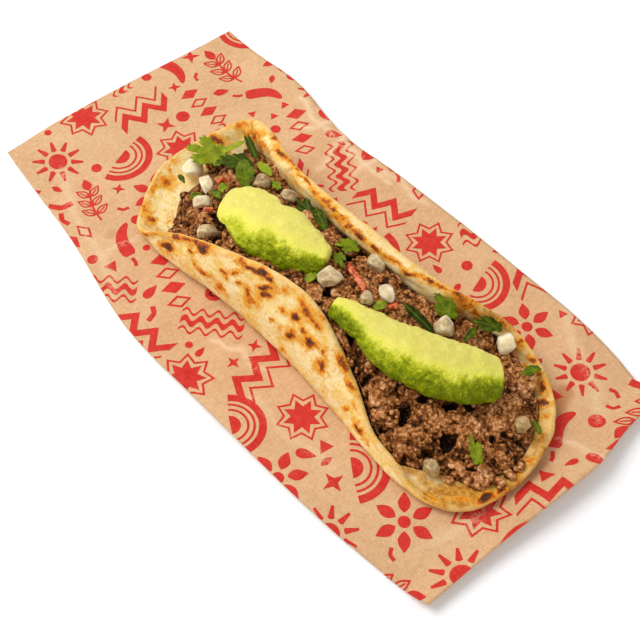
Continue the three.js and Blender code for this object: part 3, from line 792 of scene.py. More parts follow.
def printLayout():
    # Big motifs on a slanted lattice, then ever smaller ones wherever they clear the rest.
    draw = np.random.default_rng(printing["seed"])
    cell, grid = printing["cell"], printing["grid"]
    reach = int(printing["gap"] / grid)
    span = range(-reach, reach + 1)
    offsets = np.array([(i, j) for i in span for j in span if i * i + j * j <= reach * reach])
    halfX, halfY = printing["field"]
    startX, startY = printing["firstPlace"]
    spreadX, spreadY = printing["spread"]
    inked = np.zeros((int(2 * halfX / grid), int(2 * halfY / grid)), bool)
    shapes = []

    def cellsOf(added):
        points = np.concatenate([flat for flat, _ in added])
        spots = ((points + (halfX, halfY)) / grid).astype(int)
        return np.clip(spots, reach, np.array(inked.shape) - reach - 1)

    def add(added):
        spots = cellsOf(added)[:, None] + offsets
        inked[spots[..., 0], spots[..., 1]] = True
        shapes.extend(added)

    for row in range(-4, 5):
        for column in range(-6, 7):
            x = column * cell + 0.5 * cell * (row % 2) + startX
            y = row * cell * printing["rowStep"] + startY
            motif = bigMotifs[(column * 2 + row * 5) % len(bigMotifs)]
            add(placed(motif(), x, y, draw.uniform(-180, 180), draw.uniform(*printing["bigSizes"])))
    for size, tries in printing["sizes"]:
        for k in range(tries):
            x, y = draw.uniform(-spreadX, spreadX), draw.uniform(-spreadY, spreadY)
            trial = placed(smallMotifs[k % len(smallMotifs)](), x, y, draw.uniform(0, 360), size)
            spots = cellsOf(trial)
            if not inked[spots[:, 0], spots[:, 1]].any():
                add(trial)
    return shapes


def signedArea(corners):
    x, y = corners.T
    return 0.5 * float(np.sum(x * np.roll(y, -1) - np.roll(x, -1) * y))


def makePrint(material):
    points, faces, worn = [], [], []
    start = 0
    margin = printing["margin"]
    for flat, quads in printLayout():
        share = np.clip(flat[:, 0] / sheet["halfLength"], -1, 1)
        y = np.clip(flat[:, 1], frontEdge(share) + margin, backEdge(share) - margin)
        shareY = np.clip(2 * (y - frontEdge(share)) / (backEdge(share) - frontEdge(share)) - 1, -1, 1)
        x = np.clip(flat[:, 0], leftEdge(shareY) + margin, rightEdge(shareY) - margin)
        out = (np.abs(x - flat[:, 0]) + np.abs(y - flat[:, 1])) > 1e-6
        if out.all():
            continue
        own = offPaper(np.stack([x, y, x * 0], -1))
        hidden = ovalReach(own, *printing["coveredOval"], 0) < 1
        areas = np.array([signedArea(flat[list(f)]) for f in quads])
        way = 1 if areas.sum() > 0 else -1
        kept = [tuple(f)[::way] for f, area in zip(quads, areas)
                if area * way > 1e-4 and not (out[list(f)].all() or hidden[list(f)].all())]
        if not kept:
            continue
        points.append(np.stack([x, y, paperTop(x, y) + printing["lift"]], -1))
        worn.append(creasesOn(x, y)[1])
        faces += [tuple(start + int(k) for k in f) for f in kept]
        start += len(flat)
    layers = {"worn": np.concatenate(worn)}
    makeObject("redPrint", np.concatenate(points), faces, material, layers, "kraft_paper")


makePaper(makeKraft())
makePrint(makeInk())
print("paper and print made")


# The tortilla. Its rim runs from tip to tip along either wall: along, across, height.

bread = {
    "length": 203.8,
    "middle": 0.5,
    "thickness": 2.5,
    "edgeRadius": 1.25,
    "under": 0.75,  # height of its underside
    "footInset": 9,
    "spineInset": 42,
    "spineAcross": -6,
    "lipWidth": 5,
    "lipRise": 5.5,
    "lipStarts": (-92, -70),  # where along the far wall its lip sets in
    "lipEnds": (30, 62),
    "bulge": 1.5,  # how far a high wall bows out
    "around": 230,  # cells from tip to tip along each wall
    "inward": 58,
    "ripple": 0.5,  # height of the broad waves in it
    "wobble": (0.45, 0.18),  # how far the rim's line strays, in broad and in narrow waves
    # relief of its faces in mm
    "blisters": (0.2, 0.3),  # all over, and under toast
    "streaks": (0.13, 0.1),  # coarse and fine
    "creases": (0.5, 0.25),
    "nearRim": [
        (-101.4, 0, 6), (-97.2, -12, 5.5), (-91, -21, 5), (-80, -32, 6), (-68, -29.5, 13), (-44.2, -25.6, 26),
        (-29.9, -23.9, 32), (-17.6, -21.8, 36), (-5.5, -19.5, 38), (9.3, -17.5, 37), (21.5, -18.2, 32),
        (35, -20.6, 21), (42.9, -23.2, 16), (52.3, -27, 11), (68.8, -29.5, 8), (81.7, -31.2, 5),
        (92, -27.6, 4.5), (98.6, -20.2, 4.5), (102.4, 0, 4.8),
    ],
    "farRim": [
        (-101.4, 0, 6), (-99.2, 18, 9), (-94, 26.7, 13), (-86.8, 34.3, 18), (-78, 34.8, 21.5),
        (-67, 32.5, 24), (-44.5, 25.3, 28), (-25.4, 22.9, 31.5), (-12, 22.5, 33), (1, 22.8, 33),
        (13.4, 23.8, 31.5), (24.6, 25.3, 29.5), (32.6, 27.4, 27.5), (40.1, 30.7, 25), (47.1, 34.5, 22),
        (55.1, 38.2, 18.5), (64.9, 39.5, 14), (76.7, 38.3, 10), (87.5, 33.2, 7.5), (99, 19, 6),
        (102.4, 0, 4.8),
    ],
    # where wall and floor meet: along, across
    "nearFoot": [
        (-101.4, 0), (-91, -18), (-75, -31), (-57, -31), (-39, -29), (0, -28.5), (40, -30), (60, -31.5),
        (80, -31), (95, -19), (102.4, 0),
    ],
    "farFoot": [
        (-101.4, 0), (-96, 16), (-86, 26), (-66, 26), (-42, 21.5), (-22, 20), (4, 19.5), (27, 21), (41, 24.5),
        (53, 29), (65, 31), (77, 30), (88, 25.5), (98, 14), (102.4, 0),
    ],
}

# The filling's bare top: along, then its height by the near wall, in the middle and by the far wall.
filling = {
    "levels": [
        (-90, 8, 11, 13), (-75, 9, 15, 15), (-62, 12, 21, 18), (-44, 20, 28, 22), (-28, 26, 32, 25),
        (-10, 31, 34, 26), (9, 32, 33, 26), (24, 26, 31, 24), (38, 17, 26, 20), (52, 10, 21, 16),
        (66, 8, 17, 12), (80, 7, 14, 10), (92, 6, 11, 8), (102, 5, 8, 6),
    ],
    "near": [(-90, -24), (-60, -26), (-40, -25), (0, -21), (30, -22), (60, -27), (80, -26), (102, -15)],
    "far": [
        (-90, 27), (-66, 26), (-42, 21), (-22, 19), (4, 18.5), (27, 20), (41, 24), (53, 28), (65, 30),
        (88, 26), (102, 12),
    ],
    "left": [(-30, -70), (-18, -75), (-10, -82), (0, -84), (10, -84), (20, -86), (30, -88)],
    "right": [(-30, 66), (-24, 75), (-18, 84), (-10, 95), (0, 99), (16, 98), (27, 92), (34, 80)],
    "leftSlope": 22,
    "rightSlope": 16,
    "floor": 3.5,
    "leastDepth": 0.4,  # how deep the filling is where it starts
    "raySteps": 40,  # steps in which its start is looked for
}


def column(rows, j):
    return [(row[0], row[j]) for row in rows]


def byAngle(rows, j):
    # A table along the taco, read by the angle round the tortilla, so that it stays smooth at the tips.
    rows = rows[::-1]
    shares = [(row[0] - bread["middle"]) / (bread["length"] / 2) for row in rows]
    return [(math.acos(max(-1, min(1, share))), row[j]) for share, row in zip(shares, rows)]


def wallControls(side, angle):
    # From the rim in to the middle of the floor: six control points for each angle.
    rim = bread["nearRim"] if side < 0 else bread["farRim"]
    foot = bread["nearFoot"] if side < 0 else bread["farFoot"]
    midZ = bread["under"] + bread["thickness"] / 2

    def along(inset):
        return bread["middle"] + (bread["length"] / 2 - inset) * np.cos(angle)

    level = np.full_like(angle, midZ)
    edge = np.stack([along(0), through(byAngle(rim, 1), angle), through(byAngle(rim, 2), angle)], -1)
    corner = np.stack([along(bread["footInset"]), through(byAngle(foot, 1), angle), level], -1)
    spine = np.stack([along(bread["spineInset"]), np.full_like(angle, bread["spineAcross"]), level], -1)
    lip = 0 * angle
    if side > 0:
        lip = smoothStep(*bread["lipStarts"], edge[:, 0]) * (1 - smoothStep(*bread["lipEnds"], edge[:, 0]))
    bulge = bread["bulge"] * smoothStep(8, 22, edge[:, 2])
    wall = (corner + edge) / 2
    wall[:, 1] += side * bulge - 0.5 * bread["lipWidth"] * lip
    ridge = mixed(corner, edge, 0.85)
    ridge[:, 1] -= bread["lipWidth"] * lip
    ridge[:, 2] += bread["lipRise"] * lip
    return np.stack([edge, ridge, wall, corner, (corner + spine) / 2, spine], 1)


def breadNet(around, shares):
    # The tortilla's middle surface and its upward normals, on rays from the rim to the floor's middle.
    index = np.arange(2 * around)
    near = index < around
    angle = np.pi * np.where(near, index, 2 * around - index) / around
    controls = np.concatenate([wallControls(-1, angle[near]), wallControls(1, angle[~near])])
    k = np.minimum((shares * 4).astype(int), 3)
    w = (shares * 4 - k)[None, :, None]
    a, b, c = controls[:, k], controls[:, k + 1], controls[:, k + 2]
    start = np.where((k == 0)[None, :, None], a, (a + b) / 2)
    end = np.where((k == 3)[None, :, None], c, (b + c) / 2)
    net = (1 - w) ** 2 * start + 2 * w * (1 - w) * b + w ** 2 * end
    inwards = np.gradient(net, axis=1)
    onwards = np.roll(net, -1, axis=0) - np.roll(net, 1, axis=0)
    normal = np.cross(inwards, onwards)
    normal[:, -1] = (0, 0, 1)
    return net, unit(normal)


# Toast marks that show: pixel, half length and half width in pixels, turn, depth from 0 (none) to 1 (burnt).
toasts = [
    (167, 247, 7, 4.5, 45, 1.0), (203.7, 249.4, 6, 4, 50, 0.92), (191.6, 253.4, 5, 2.2, 60, 0.7),
    (167, 232, 6, 3, 45, 0.8), (176, 236.4, 8, 2.4, 25, 0.74), (186, 240, 8, 2.4, 20, 0.74),
    (196, 243.6, 7, 2.8, 22, 0.64), (203, 247, 10, 6, 25, 0.45), (147, 232, 6, 1.6, 12, 0.55),
    (157, 233.5, 5, 1.2, 5, 0.5), (195, 267, 5, 2.2, 45, 0.6), (203, 273, 4.5, 2.2, 45, 0.62),
    (209, 276, 3, 1.2, 40, 0.5), (220, 286, 11, 4.5, 45, 0.42), (225.5, 273, 6, 3, 50, 0.8),
    (235.4, 272, 4.5, 2.5, 20, 0.65), (238.5, 282, 3.5, 2.6, 30, 0.75), (229, 279, 3, 1.6, 20, 0.5),
    (244, 261, 11, 5, 30, 0.5), (252, 267, 7, 4, 30, 0.93), (261, 273, 9, 4.8, 40, 1.0),
    (269, 280, 5, 3, 30, 0.9), (265, 287, 6, 3.2, 15, 0.85), (266, 294, 7.5, 4, 30, 0.8),
    (247, 291, 6.5, 4, 80, 0.72), (252, 301, 7, 5, 55, 0.55), (282, 290, 5, 7, 80, 0.32),
    (283.7, 310.6, 4.5, 2.2, 70, 0.68), (295.4, 318, 6.5, 5, 45, 0.88), (303, 303, 6, 4, 50, 0.55),
    (309, 312, 8.5, 5, 55, 0.68), (315, 321, 5, 3.5, 50, 0.6), (318.8, 326.5, 6, 3.5, 60, 0.75),
    (324, 317, 5, 3, 50, 0.45), (270.5, 319.3, 3, 2.2, 30, 0.65), (291, 334, 6.5, 5, 40, 0.73),
    (303.6, 330, 5.5, 2.2, 55, 0.75), (308, 341.6, 6.5, 5, 50, 0.95), (316, 346, 6, 2.6, 50, 0.6),
    (323.2, 352.3, 6, 2.6, 55, 0.6), (320.5, 366.6, 7.5, 4, 65, 0.82), (342, 361, 8.5, 5, 60, 0.66),
    (347.3, 370, 5.5, 3, 60, 0.6), (353.6, 386, 7.5, 3.2, 65, 0.66), (348, 383.6, 4, 2, 60, 0.45),
    (283, 348.8, 3, 2, 40, 0.5), (280, 327, 5, 3, 20, 0.3), (360, 429, 10, 2.8, 58, 0.82),
    (345, 408, 3.5, 2.2, 60, 0.6), (355, 405, 4.5, 1.8, 75, 0.52), (362, 398, 4, 1.8, 75, 0.45),
    (281.5, 154, 7, 4, 45, 0.88), (292, 162, 6, 3.2, 45, 0.62), (274.4, 138, 6, 3, 50, 0.62),
    (297.4, 169.3, 5, 1.6, 50, 0.8), (316.5, 193, 9, 3, 42, 0.5), (326, 201, 8, 2.6, 42, 0.6),
    (358.8, 235, 12, 2.4, 42, 0.86), (377, 249, 9, 2.2, 40, 0.8), (349.6, 225, 5, 2.2, 40, 0.7),
    (337, 218, 9, 3, 40, 0.5), (386, 256, 6, 2, 40, 0.6), (409.8, 274, 10, 2.3, 36, 0.9),
    (431, 281, 6, 2.8, 30, 0.78), (441, 287, 6, 2.8, 25, 0.6), (464, 301, 15, 9, 30, 0.48),
    (477, 312, 7, 3, 10, 0.68), (456, 294, 6, 2.2, 30, 0.6), (504, 322, 7, 2.2, 40, 0.62),
    (526, 368, 5, 3, 30, 0.5), (492, 316, 5, 2.2, 35, 0.5), (511.3, 325.6, 4.5, 2.6, 40, 0.8),
    (521.3, 341.8, 4.5, 3, 20, 0.86), (513, 347, 5.5, 2.4, 10, 0.66), (533, 360.4, 6, 3.6, 30, 0.84),
    (543.6, 388.6, 8, 4.2, 100, 0.86), (541, 403.5, 8.5, 4, 5, 0.86), (538, 374, 5.5, 2.6, 20, 0.6),
    (546, 417, 6, 2.6, 0, 0.55), (486, 497.5, 11, 6, -10, 1.0), (500, 491, 7, 4, -20, 0.8),
    (459, 498, 15, 4, 5, 0.4), (434, 499, 9, 3, 20, 0.4), (515, 472, 8, 4.5, -25, 0.62),
    (543, 437, 4, 8, 10, 0.42), (528, 462, 8, 4, -40, 0.5), (166, 181.6, 7.5, 4.5, 35, 0.52),
    (154.6, 188, 4, 4.5, 0, 0.5), (172, 162, 5.5, 3.2, -35, 0.42), (168, 169, 3, 4, 0, 0.4),
    (146, 210, 4.5, 6, 0, 0.46), (150.4, 219.4, 6.5, 4, 30, 0.58), (168.7, 219.4, 3, 6, 0, 0.32),
    (180, 213.8, 3, 3, 0, 0.3), (217.8, 139.5, 10, 6, 25, 0.66), (227, 126, 7, 1.8, -10, 0.58),
    (243, 126, 11, 5, 5, 0.42), (254.3, 136, 5.5, 7, 60, 0.6), (262, 146, 6, 3, 55, 0.5),
    (178, 234, 15, 3.4, 20, 0.5), (198, 243, 13, 4, 22, 0.56), (305, 180, 16, 1.5, 48, 0.66),
    (335, 210, 16, 1.5, 43, 0.68), (366, 240, 14, 1.5, 40, 0.64), (395, 262, 16, 1.5, 36, 0.66),
    (425, 279, 16, 1.5, 28, 0.6), (450, 290, 12, 1.4, 25, 0.5),
]

# Where the filling's fat has soaked in: pixel, half length and half width in pixels, turn, depth.
oilStains = [
    (474, 489, 62, 17, -12, 0.85), (532, 456, 30, 17, -58, 0.62), (541, 405, 42, 9, 84, 0.4),
    (500, 317, 26, 10, 38, 0.55), (440, 466, 24, 8, 40, 0.6), (262, 152, 12, 5, 50, 0.4),
    (160, 236, 24, 9, 24, 0.35), (300, 190, 60, 6, 44, 0.35), (428, 478, 36, 15, 36, 0.62),
]

# Toasts where they don't show are scattered: how many on each side, and their radii in mm.
hiddenToasts = {"count": 90, "smallest": 1.2, "largest": 4.2, "seed": 5}


def raggedPixels(points, size, amount, seed):
    # Where the camera sees the points, each shifted by noise, so that marks get ragged edges.
    shift = np.stack([layered(points, size, seed), layered(points, size, seed + 3)], -1)
    return pixelOf(points) + shift * amount


def toastOn(points, normals, tree):
    # How toasted each point is, and the golden glow round its marks, both from 0 to 1.
    toast, glow = np.zeros(len(points)), np.zeros(len(points))
    pixels = raggedPixels(points, 4.5, 2.6, 41)
    ragged = 1 + 0.26 * softNoise(points, 1.5, 47) + 0.14 * softNoise(points, 0.8, 48)
    for x, y, length, width, turn, depth in toasts:
        hit, normal, _, _ = tree.ray_cast(*rayOf((x, y)))
        if hit is None:
            continue
        reach = 1.3 * max(length, width) + 3
        near = (np.linalg.norm(points - np.array(hit), axis=1) < reach) & (normals @ np.array(normal) > 0.1)
        q = ovalReach(pixels[near] - (x, y), length, width, turn) * ragged[near]
        toast[near] = np.maximum(toast[near], depth * (1 - smoothStep(0.2, 1.45, q)))
        glow[near] = np.maximum(glow[near], min(1, depth + 0.4) * (1 - smoothStep(0.5, 3.0, q)))
    return toast, glow


def oilOn(points, normals, tree):
    # How much fat has soaked in at each point, from 0 to 1.
    oil = np.zeros(len(points))
    pixels = raggedPixels(points, 9, 5, 55)
    for x, y, length, width, turn, depth in oilStains:
        hit, normal, _, _ = tree.ray_cast(*rayOf((x, y)))
        near = np.linalg.norm(points - np.array(hit), axis=1) < 0.5 * max(length, width) + 6
        q = ovalReach(pixels[near] - (x, y), length, width, turn)
        facing = normals[near] @ np.array(normal) > -0.2
        oil[near] = np.maximum(oil[near], depth * facing * (1 - smoothStep(0.55, 1.35, q)))
    return oil


def scatteredToast(points, normals, seen):
    # The same kind of marks on the faces that the camera doesn't see.
    draw = np.random.default_rng(hiddenToasts["seed"])
    hidden = np.flatnonzero(~seen)
    toast, glow = np.zeros(len(points)), np.zeros(len(points))
    ragged = 1 + 0.35 * layered(points, 3.4, 51)
    for _ in range(hiddenToasts["count"]):
        at = hidden[draw.integers(len(hidden))]
        radius = mixed(hiddenToasts["smallest"], hiddenToasts["largest"], draw.random() ** 2)
        depth = draw.uniform(0.35, 0.95)
        offset = points - points[at]
        near = (np.abs(offset).max(axis=1) < 4 * radius) & (normals @ normals[at] > 0.3) & ~seen
        q = np.linalg.norm(offset[near] * (0.75, 1.1, 1.1), axis=1) / radius * ragged[near]
        toast[near] = np.maximum(toast[near], depth * (1 - smoothStep(0.3, 1.6, q)))
        glow[near] = np.maximum(glow[near], depth * (1 - smoothStep(0.6, 2.9, q)))
    return toast, glow


def treeOf(points, faces):
    return BVHTree.FromPolygons([tuple(p) for p in points], [tuple(f) for f in faces])


def breadShares():
    # Where the rings lie, from the rim (0) to the middle (1): close together over the round edge.
    edge = np.array([0, 0.0012, 0.0035, 0.007, 0.0115, 0.017, 0.024])
    rest = np.linspace(0.034, 1, bread["inward"])
    return np.concatenate([edge, rest])


def drawnOut(points, stretch, size, seed):
    # Noise that is drawn out along the taco.
    return softNoise(points * (stretch, 1, 1), size, seed)


def breadRelief(points, fromRim, toast):
    # Height of the blisters, streaks and creases on the bread's faces, which fade out at its rim.
    everywhere, toasted = bread["blisters"]
    blister = everywhere * layered(points, 6.5, 71) + toasted * smoothStep(0.25, 0.8, toast)
    coarse, fine = bread["streaks"]
    streaks = coarse * drawnOut(points, 0.14, 1.5, 75) + fine * drawnOut(points, 0.3, 0.9, 76)
    # creases run along the wall that folds over the filling
    coarse, fine = bread["creases"]
    creases = coarse * drawnOut(points, 0.09, 2.4, 77) + fine * drawnOut(points, 0.2, 1.2, 78)
    lip = smoothStep(4, 14, points[:, 1]) * (1 - smoothStep(9, 18, fromRim))
    return (blister + streaks + creases * lip) * smoothStep(0, 1.5, fromRim)


def makeBread(material):
    net, normal = breadNet(bread["around"], breadShares())
    rays, rings = net.shape[:2]
    gap = np.linalg.norm(np.diff(net, axis=1), axis=-1)
    inset = np.concatenate([np.zeros((rays, 1)), np.cumsum(gap, axis=1)], axis=1)
    r = bread["edgeRadius"]
    half = np.sqrt(np.clip(1 - (1 - np.clip(inset / r, 0, 1)) ** 2, 0, 1))[..., None] * r
    ripple = bread["ripple"] * layered(net * (1, 1, 1.6), 15, 61, 2) * smoothStep(0, 8, inset)
    middle = net + normal * ripple[..., None] * smoothStep(3, 12, net[..., 2:3])
    broad, narrow = bread["wobble"]
    wobble = broad * softNoise(net, 7, 63) + narrow * softNoise(net, 2.4, 64)
    outward = unit(net[:, :1] - net[:, 6:7])
    middle = middle + outward * wobble[..., None] * (1 - smoothStep(0, 4, inset))[..., None]
    upper = middle + normal * half
    lower = middle - normal * half
    seenFaces = gridFaces(rays, rings, wrapRows=True)
    count = rays * rings
    points = np.concatenate([upper.reshape(-1, 3), lower.reshape(-1, 3)])
    normals = np.concatenate([normal.reshape(-1, 3), -normal.reshape(-1, 3)])
    faces = np.concatenate([seenFaces[:, ::-1], seenFaces + count])
    world = onPaper(points)
    worldNormals = turned(normals, 2, tacoPlace["turn"])
    tree = treeOf(world, faces)
    towards = unit(np.array(lens["place"]) - world)
    facing = np.sum(worldNormals * towards, axis=1)
    shown = toastOn(world, worldNormals, tree)
    scattered = scatteredToast(world, worldNormals, facing > 0.05)
    toast, glow = np.maximum(shown[0], scattered[0]), np.maximum(shown[1], scattered[1])
    oil = oilOn(world, worldNormals, tree)
    # painted warm shade: a little amber over the whole inside, away from the left end, carried in the fat
    # layer
    paintedInsideShade = 0.3 * smoothStep(4, 11, inset) * smoothStep(-60, -35, net[..., 0])
    oil[:count] = np.maximum(oil[:count], paintedInsideShade.ravel())
    fromRim = np.tile(inset.ravel(), 2)
    underside = smoothStep(bread["under"], bread["under"] + 3, points[count:, 2])
    relief = breadRelief(points, fromRim, toast) * np.concatenate([np.ones(count), underside])
    world = world + worldNormals * np.maximum(relief, -0.3)[:, None]
    layers = {"toast": toast, "glow": glow, "oil": oil, "rim": 1 - smoothStep(0, 4, fromRim)}
    made = makeObject("tortillaBread", world, faces, material, layers, "tortilla_bread", ["tortilla"])
    weld(made)
    return tree


def weld(made, distance=0.02):
    # Joins points that fall together, such as both faces at the rim.
    work = bmesh.new()
    work.from_mesh(made.data)
    bmesh.ops.remove_doubles(work, verts=work.verts, dist=distance * mm)
    work.to_mesh(made.data)
    work.free()


def makeBreadLook():
    dough = Finish("flourTortilla", 0.6, Specular_IOR_Level=0.25)
    broad = dough.noise(11, 3)
    patches = dough.noise(4.2, 4)
    streaks = dough.noise(4, 4, stretch=(0.5, 3.2, 3.2))
    flecks = dough.noise(1.5, 3)
    fine = dough.noise(0.7, 3)
    toast = dough.layer("toast")
    glow = dough.layer("glow")
    oil = dough.layer("oil")
    cream = dough.blend(broad.between(0.4, 0.66), (245, 219, 150), (238, 194, 92))
    cream = dough.blend(streaks.between(0.5, 0.72) * 0.5, cream, (232, 166, 66))
    cream = dough.blend(flecks.between(0.46, 0.66) * 0.6, cream, (251, 233, 184))
    cream = dough.blend(fine.between(0.54, 0.68) * 0.5, cream, (208, 138, 48))
    flour = dough.noise(5, 3).between(0.52, 0.68)
    cream = dough.blend(flour * 0.55, cream, (252, 238, 196))
    freckles = dough.knobs(3.2, 0.6).between(0.6, 0.86) * patches.between(0.44, 0.58)
    cream = dough.blend(freckles * 0.75, cream, (216, 136, 40))
    unevenness = (patches - 0.5) * 1.5 + (flecks - 0.5) * 0.9 + (fine - 0.5) * 0.6
    golden = ((glow * 0.95 + unevenness - 0.42) * 2.6).clipped()
    cream = dough.blend(golden * 0.92, cream, dough.blend(flecks, (236, 170, 32), (216, 130, 6)))
    cream = dough.blend(dough.layer("rim") * 0.48, cream, (222, 162, 66))
    # the fat layer holds real fat stains and the painted warm shade over the inside
    soakedAndShaded = (oil * 1.2 + ((patches - 0.5) * 2.4 + (broad - 0.5) * 1.6) * oil.between(0.0, 0.5)).clipped()
    amber = dough.blend(flecks.between(0.4, 0.62), (208, 150, 58), (178, 114, 32))
    cream = dough.blend(soakedAndShaded, cream, amber)
    ragged = (patches - 0.5) * 0.8 + (flecks - 0.5) * 0.5 + (fine - 0.5) * 0.35
    depth = ((toast + ragged * toast.between(0.02, 0.4)) * 1.25 - 0.12).clipped()
    burnt = dough.ramp((depth + (fine - 0.5) * 0.3 + (flecks - 0.5) * 0.35).clipped(), [
        (0.0, (240, 188, 92)), (0.2, (236, 160, 36)), (0.42, (212, 118, 12)),
        (0.62, (168, 80, 10)), (0.82, (112, 53, 13)), (1.0, (70, 35, 14)),
    ])
    dough.feed("Base Color", dough.blend(depth.between(0.06, 0.3), cream, burnt))
    dough.feed("Roughness", 0.66 - depth * 0.14 - soakedAndShaded * 0.2)
    grain = patches * 0.4 + streaks * 0.4 + flecks * 0.3
    dough.feed("Normal", dough.bump(fine, 0.16, 0.6, dough.bump(grain, 0.9, 0.6)))
    return dough.material


breadTree = makeBread(makeBreadLook())
print("tortilla made")


# Toppings come before the beef, whose crumbs nestle round them.

taken = []  # (points in mm, faces) of every topping, in the part's frame


def addTopping(name, points, faces, material, layers, slotName, node):
    world = onPaper(points)
    taken.append((world, faces))
    makeObject(name, world, faces, material, layers, slotName, [node])


# Avocado slices: a rounded skin side down and to the front, a flatter cut face up.

avocado = {
    "stations": 160,
    "around": 120,
    "cutFace": 0.7,
    "cap": 2.0,  # how far either end goes on past its spine, in mm
    "bluntness": 3.8,
    "greenWay": (0.42, -0.68, -0.58),  # the direction in which the flesh turns green
    "knobs": (2.7, 1.5),  # sizes of the knobs on the green side
    "relief": 0.85,
    "slices": [
        {
            "node": "avocado_1",
            "spine": [
                (-46.5, -8.6, 32.2), (-39.5, -7.4, 34.2), (-32.5, -7.5, 35.2), (-25.5, -7.6, 35.6),
                (-18, -6.2, 35.6), (-11, -5, 35.4), (-5, -3.6, 35), (-0.5, -1.8, 34.5),
            ],
            "across": [7.4, 9.6, 10.8, 11.2, 12.0, 11.3, 9.2, 6.4],
            "deep": [4.6, 5.8, 6.8, 7.4, 7.7, 7.4, 6.4, 5],
            "roll": 20,
            "greener": 0.0,
            "drift": 1.3,  # how much greener its right end is
            "neck": 0.0,  # how much greener its left end is
        },
        {
            "node": "avocado_2",
            "spine": [
                (18.5, -12.6, 33.6), (30.5, -8.6, 32.4), (41, -7, 30.8), (51.5, -2.8, 28.8),
                (61.3, 3.4, 26), (68.8, 10.2, 23.6), (73, 15.2, 22),
            ],
            "across": [4.2, 6.1, 8.9, 10.2, 11.2, 10.0, 7.8],
            "deep": [3.6, 5.2, 6.7, 7.7, 8, 7.4, 6],
            "roll": 22,
            "greener": 0.06,
            "drift": 0.9,
            "neck": 1.1,
        },
    ],
}


def makeAvocado(index, cut, material):
    stations, around = avocado["stations"], avocado["around"]
    spine = np.array(cut["spine"], float)
    run = np.concatenate([[0], np.cumsum(np.linalg.norm(np.diff(spine, axis=0), axis=1))])
    total = run[-1]
    run /= total

    def spineAt(t):
        return np.stack([through(list(zip(run, spine[:, k])), np.clip(t, 0, 1)) for k in range(3)], -1)

    # a little past either end, so that the body closes round
    over = avocado["cap"] / total
    share = mixed(-over, 1 + over, (1 - np.cos(np.linspace(0, math.pi, stations))) / 2)
    t = np.clip(share, 0, 1)
    middle = np.clip(share, 0.01, 0.99)
    tangent = unit(spineAt(middle + 0.01) - spineAt(middle - 0.01))
    centre = spineAt(t) + tangent * ((share - t) * total)[:, None]
    side = unit(np.stack([-tangent[:, 1], tangent[:, 0], 0 * t], -1))
    up = np.cross(tangent, side)
    even = np.linspace(0, 1, len(cut["across"]))
    fromEnd = (0.5 + over - np.abs(share - 0.5)) * total / (2 * avocado["cap"])
    blunt = avocado["bluntness"]
    close = np.clip(1 - (1 - np.clip(fromEnd, 0, 1)) ** blunt, 0, 1) ** (1 / blunt)
    wide = through(list(zip(even, cut["across"])), t) * close
    high = through(list(zip(even, cut["deep"])), t) * close
    angle = np.linspace(0, 2 * math.pi, around, endpoint=False)
    ca, sa = np.cos(angle), np.sin(angle)
    x = wide[:, None] * ca
    y = high[:, None] * sa * np.where(sa > 0, avocado["cutFace"], 1)
    roll = math.radians(cut["roll"])
    across = x * math.cos(roll) - y * math.sin(roll)
    lift = x * math.sin(roll) + y * math.cos(roll)
    points = centre[:, None] + side[:, None] * across[..., None] + up[:, None] * lift[..., None]
    outward = unit(points - centre[:, None])
    # green runs from 0 on the yellow cut face to 1 on the rounded side towards the near wall
    facing = outward @ np.array(avocado["greenWay"]) + cut["drift"] * (t[:, None] - 0.5) + cut["greener"]
    facing += cut["neck"] * (1 - smoothStep(0, 0.26, t[:, None]))
    green = smoothStep(-0.9, 1.2, facing + 0.26 * layered(points, 7, 81 + index))
    rough = smoothStep(0.22, 0.65, green)
    uneven = bent(points, 3.4, 1.3, 101) * (0.72, 1, 1)
    large, small = avocado["knobs"]
    knobs = np.maximum(domes(uneven, large, 83, 0.76), 0.8 * domes(uneven, small, 86, 0.74))
    broad = 0.7 * softNoise(points, 4.4, 85) + softNoise(points, 9, 88)
    lumps = 0.75 * knobs + 0.3 * softNoise(points, 1.1, 89) - 0.4
    flow = points * (0.35, 1, 1)
    smooth = 0.16 * softNoise(flow, 1.5, 84) + 0.14 * softNoise(points, 0.9, 87)
    edge = 0.4 * softNoise(points, 1.8, 79) * smoothStep(0.5, 0.95, np.abs(ca))
    relief = mixed(smooth + 0.8 * broad, lumps + broad, rough) + edge
    points = points + outward * (avocado["relief"] * relief * close[:, None] ** 0.5)[..., None]
    # crest only feeds the colour: high on the knobs' tops for a painted highlight, low in the creases between
    # them for painted shade
    crest = mixed(0.75 + 0.25 * softNoise(flow, 1.5, 84), 0.25 + 0.75 * knobs, rough)
    layers = {
        "green": np.concatenate([green.ravel(), [green[0].mean(), green[-1].mean()]]),
        "crest": np.concatenate([crest.ravel(), [0.6, 0.6]]),
    }
    name = "avocadoSlice_" + str(index + 1)
    faces = tubeFaces(stations, around)
    addTopping(name, capped(points), faces, material, layers, "avocado_flesh", cut["node"])


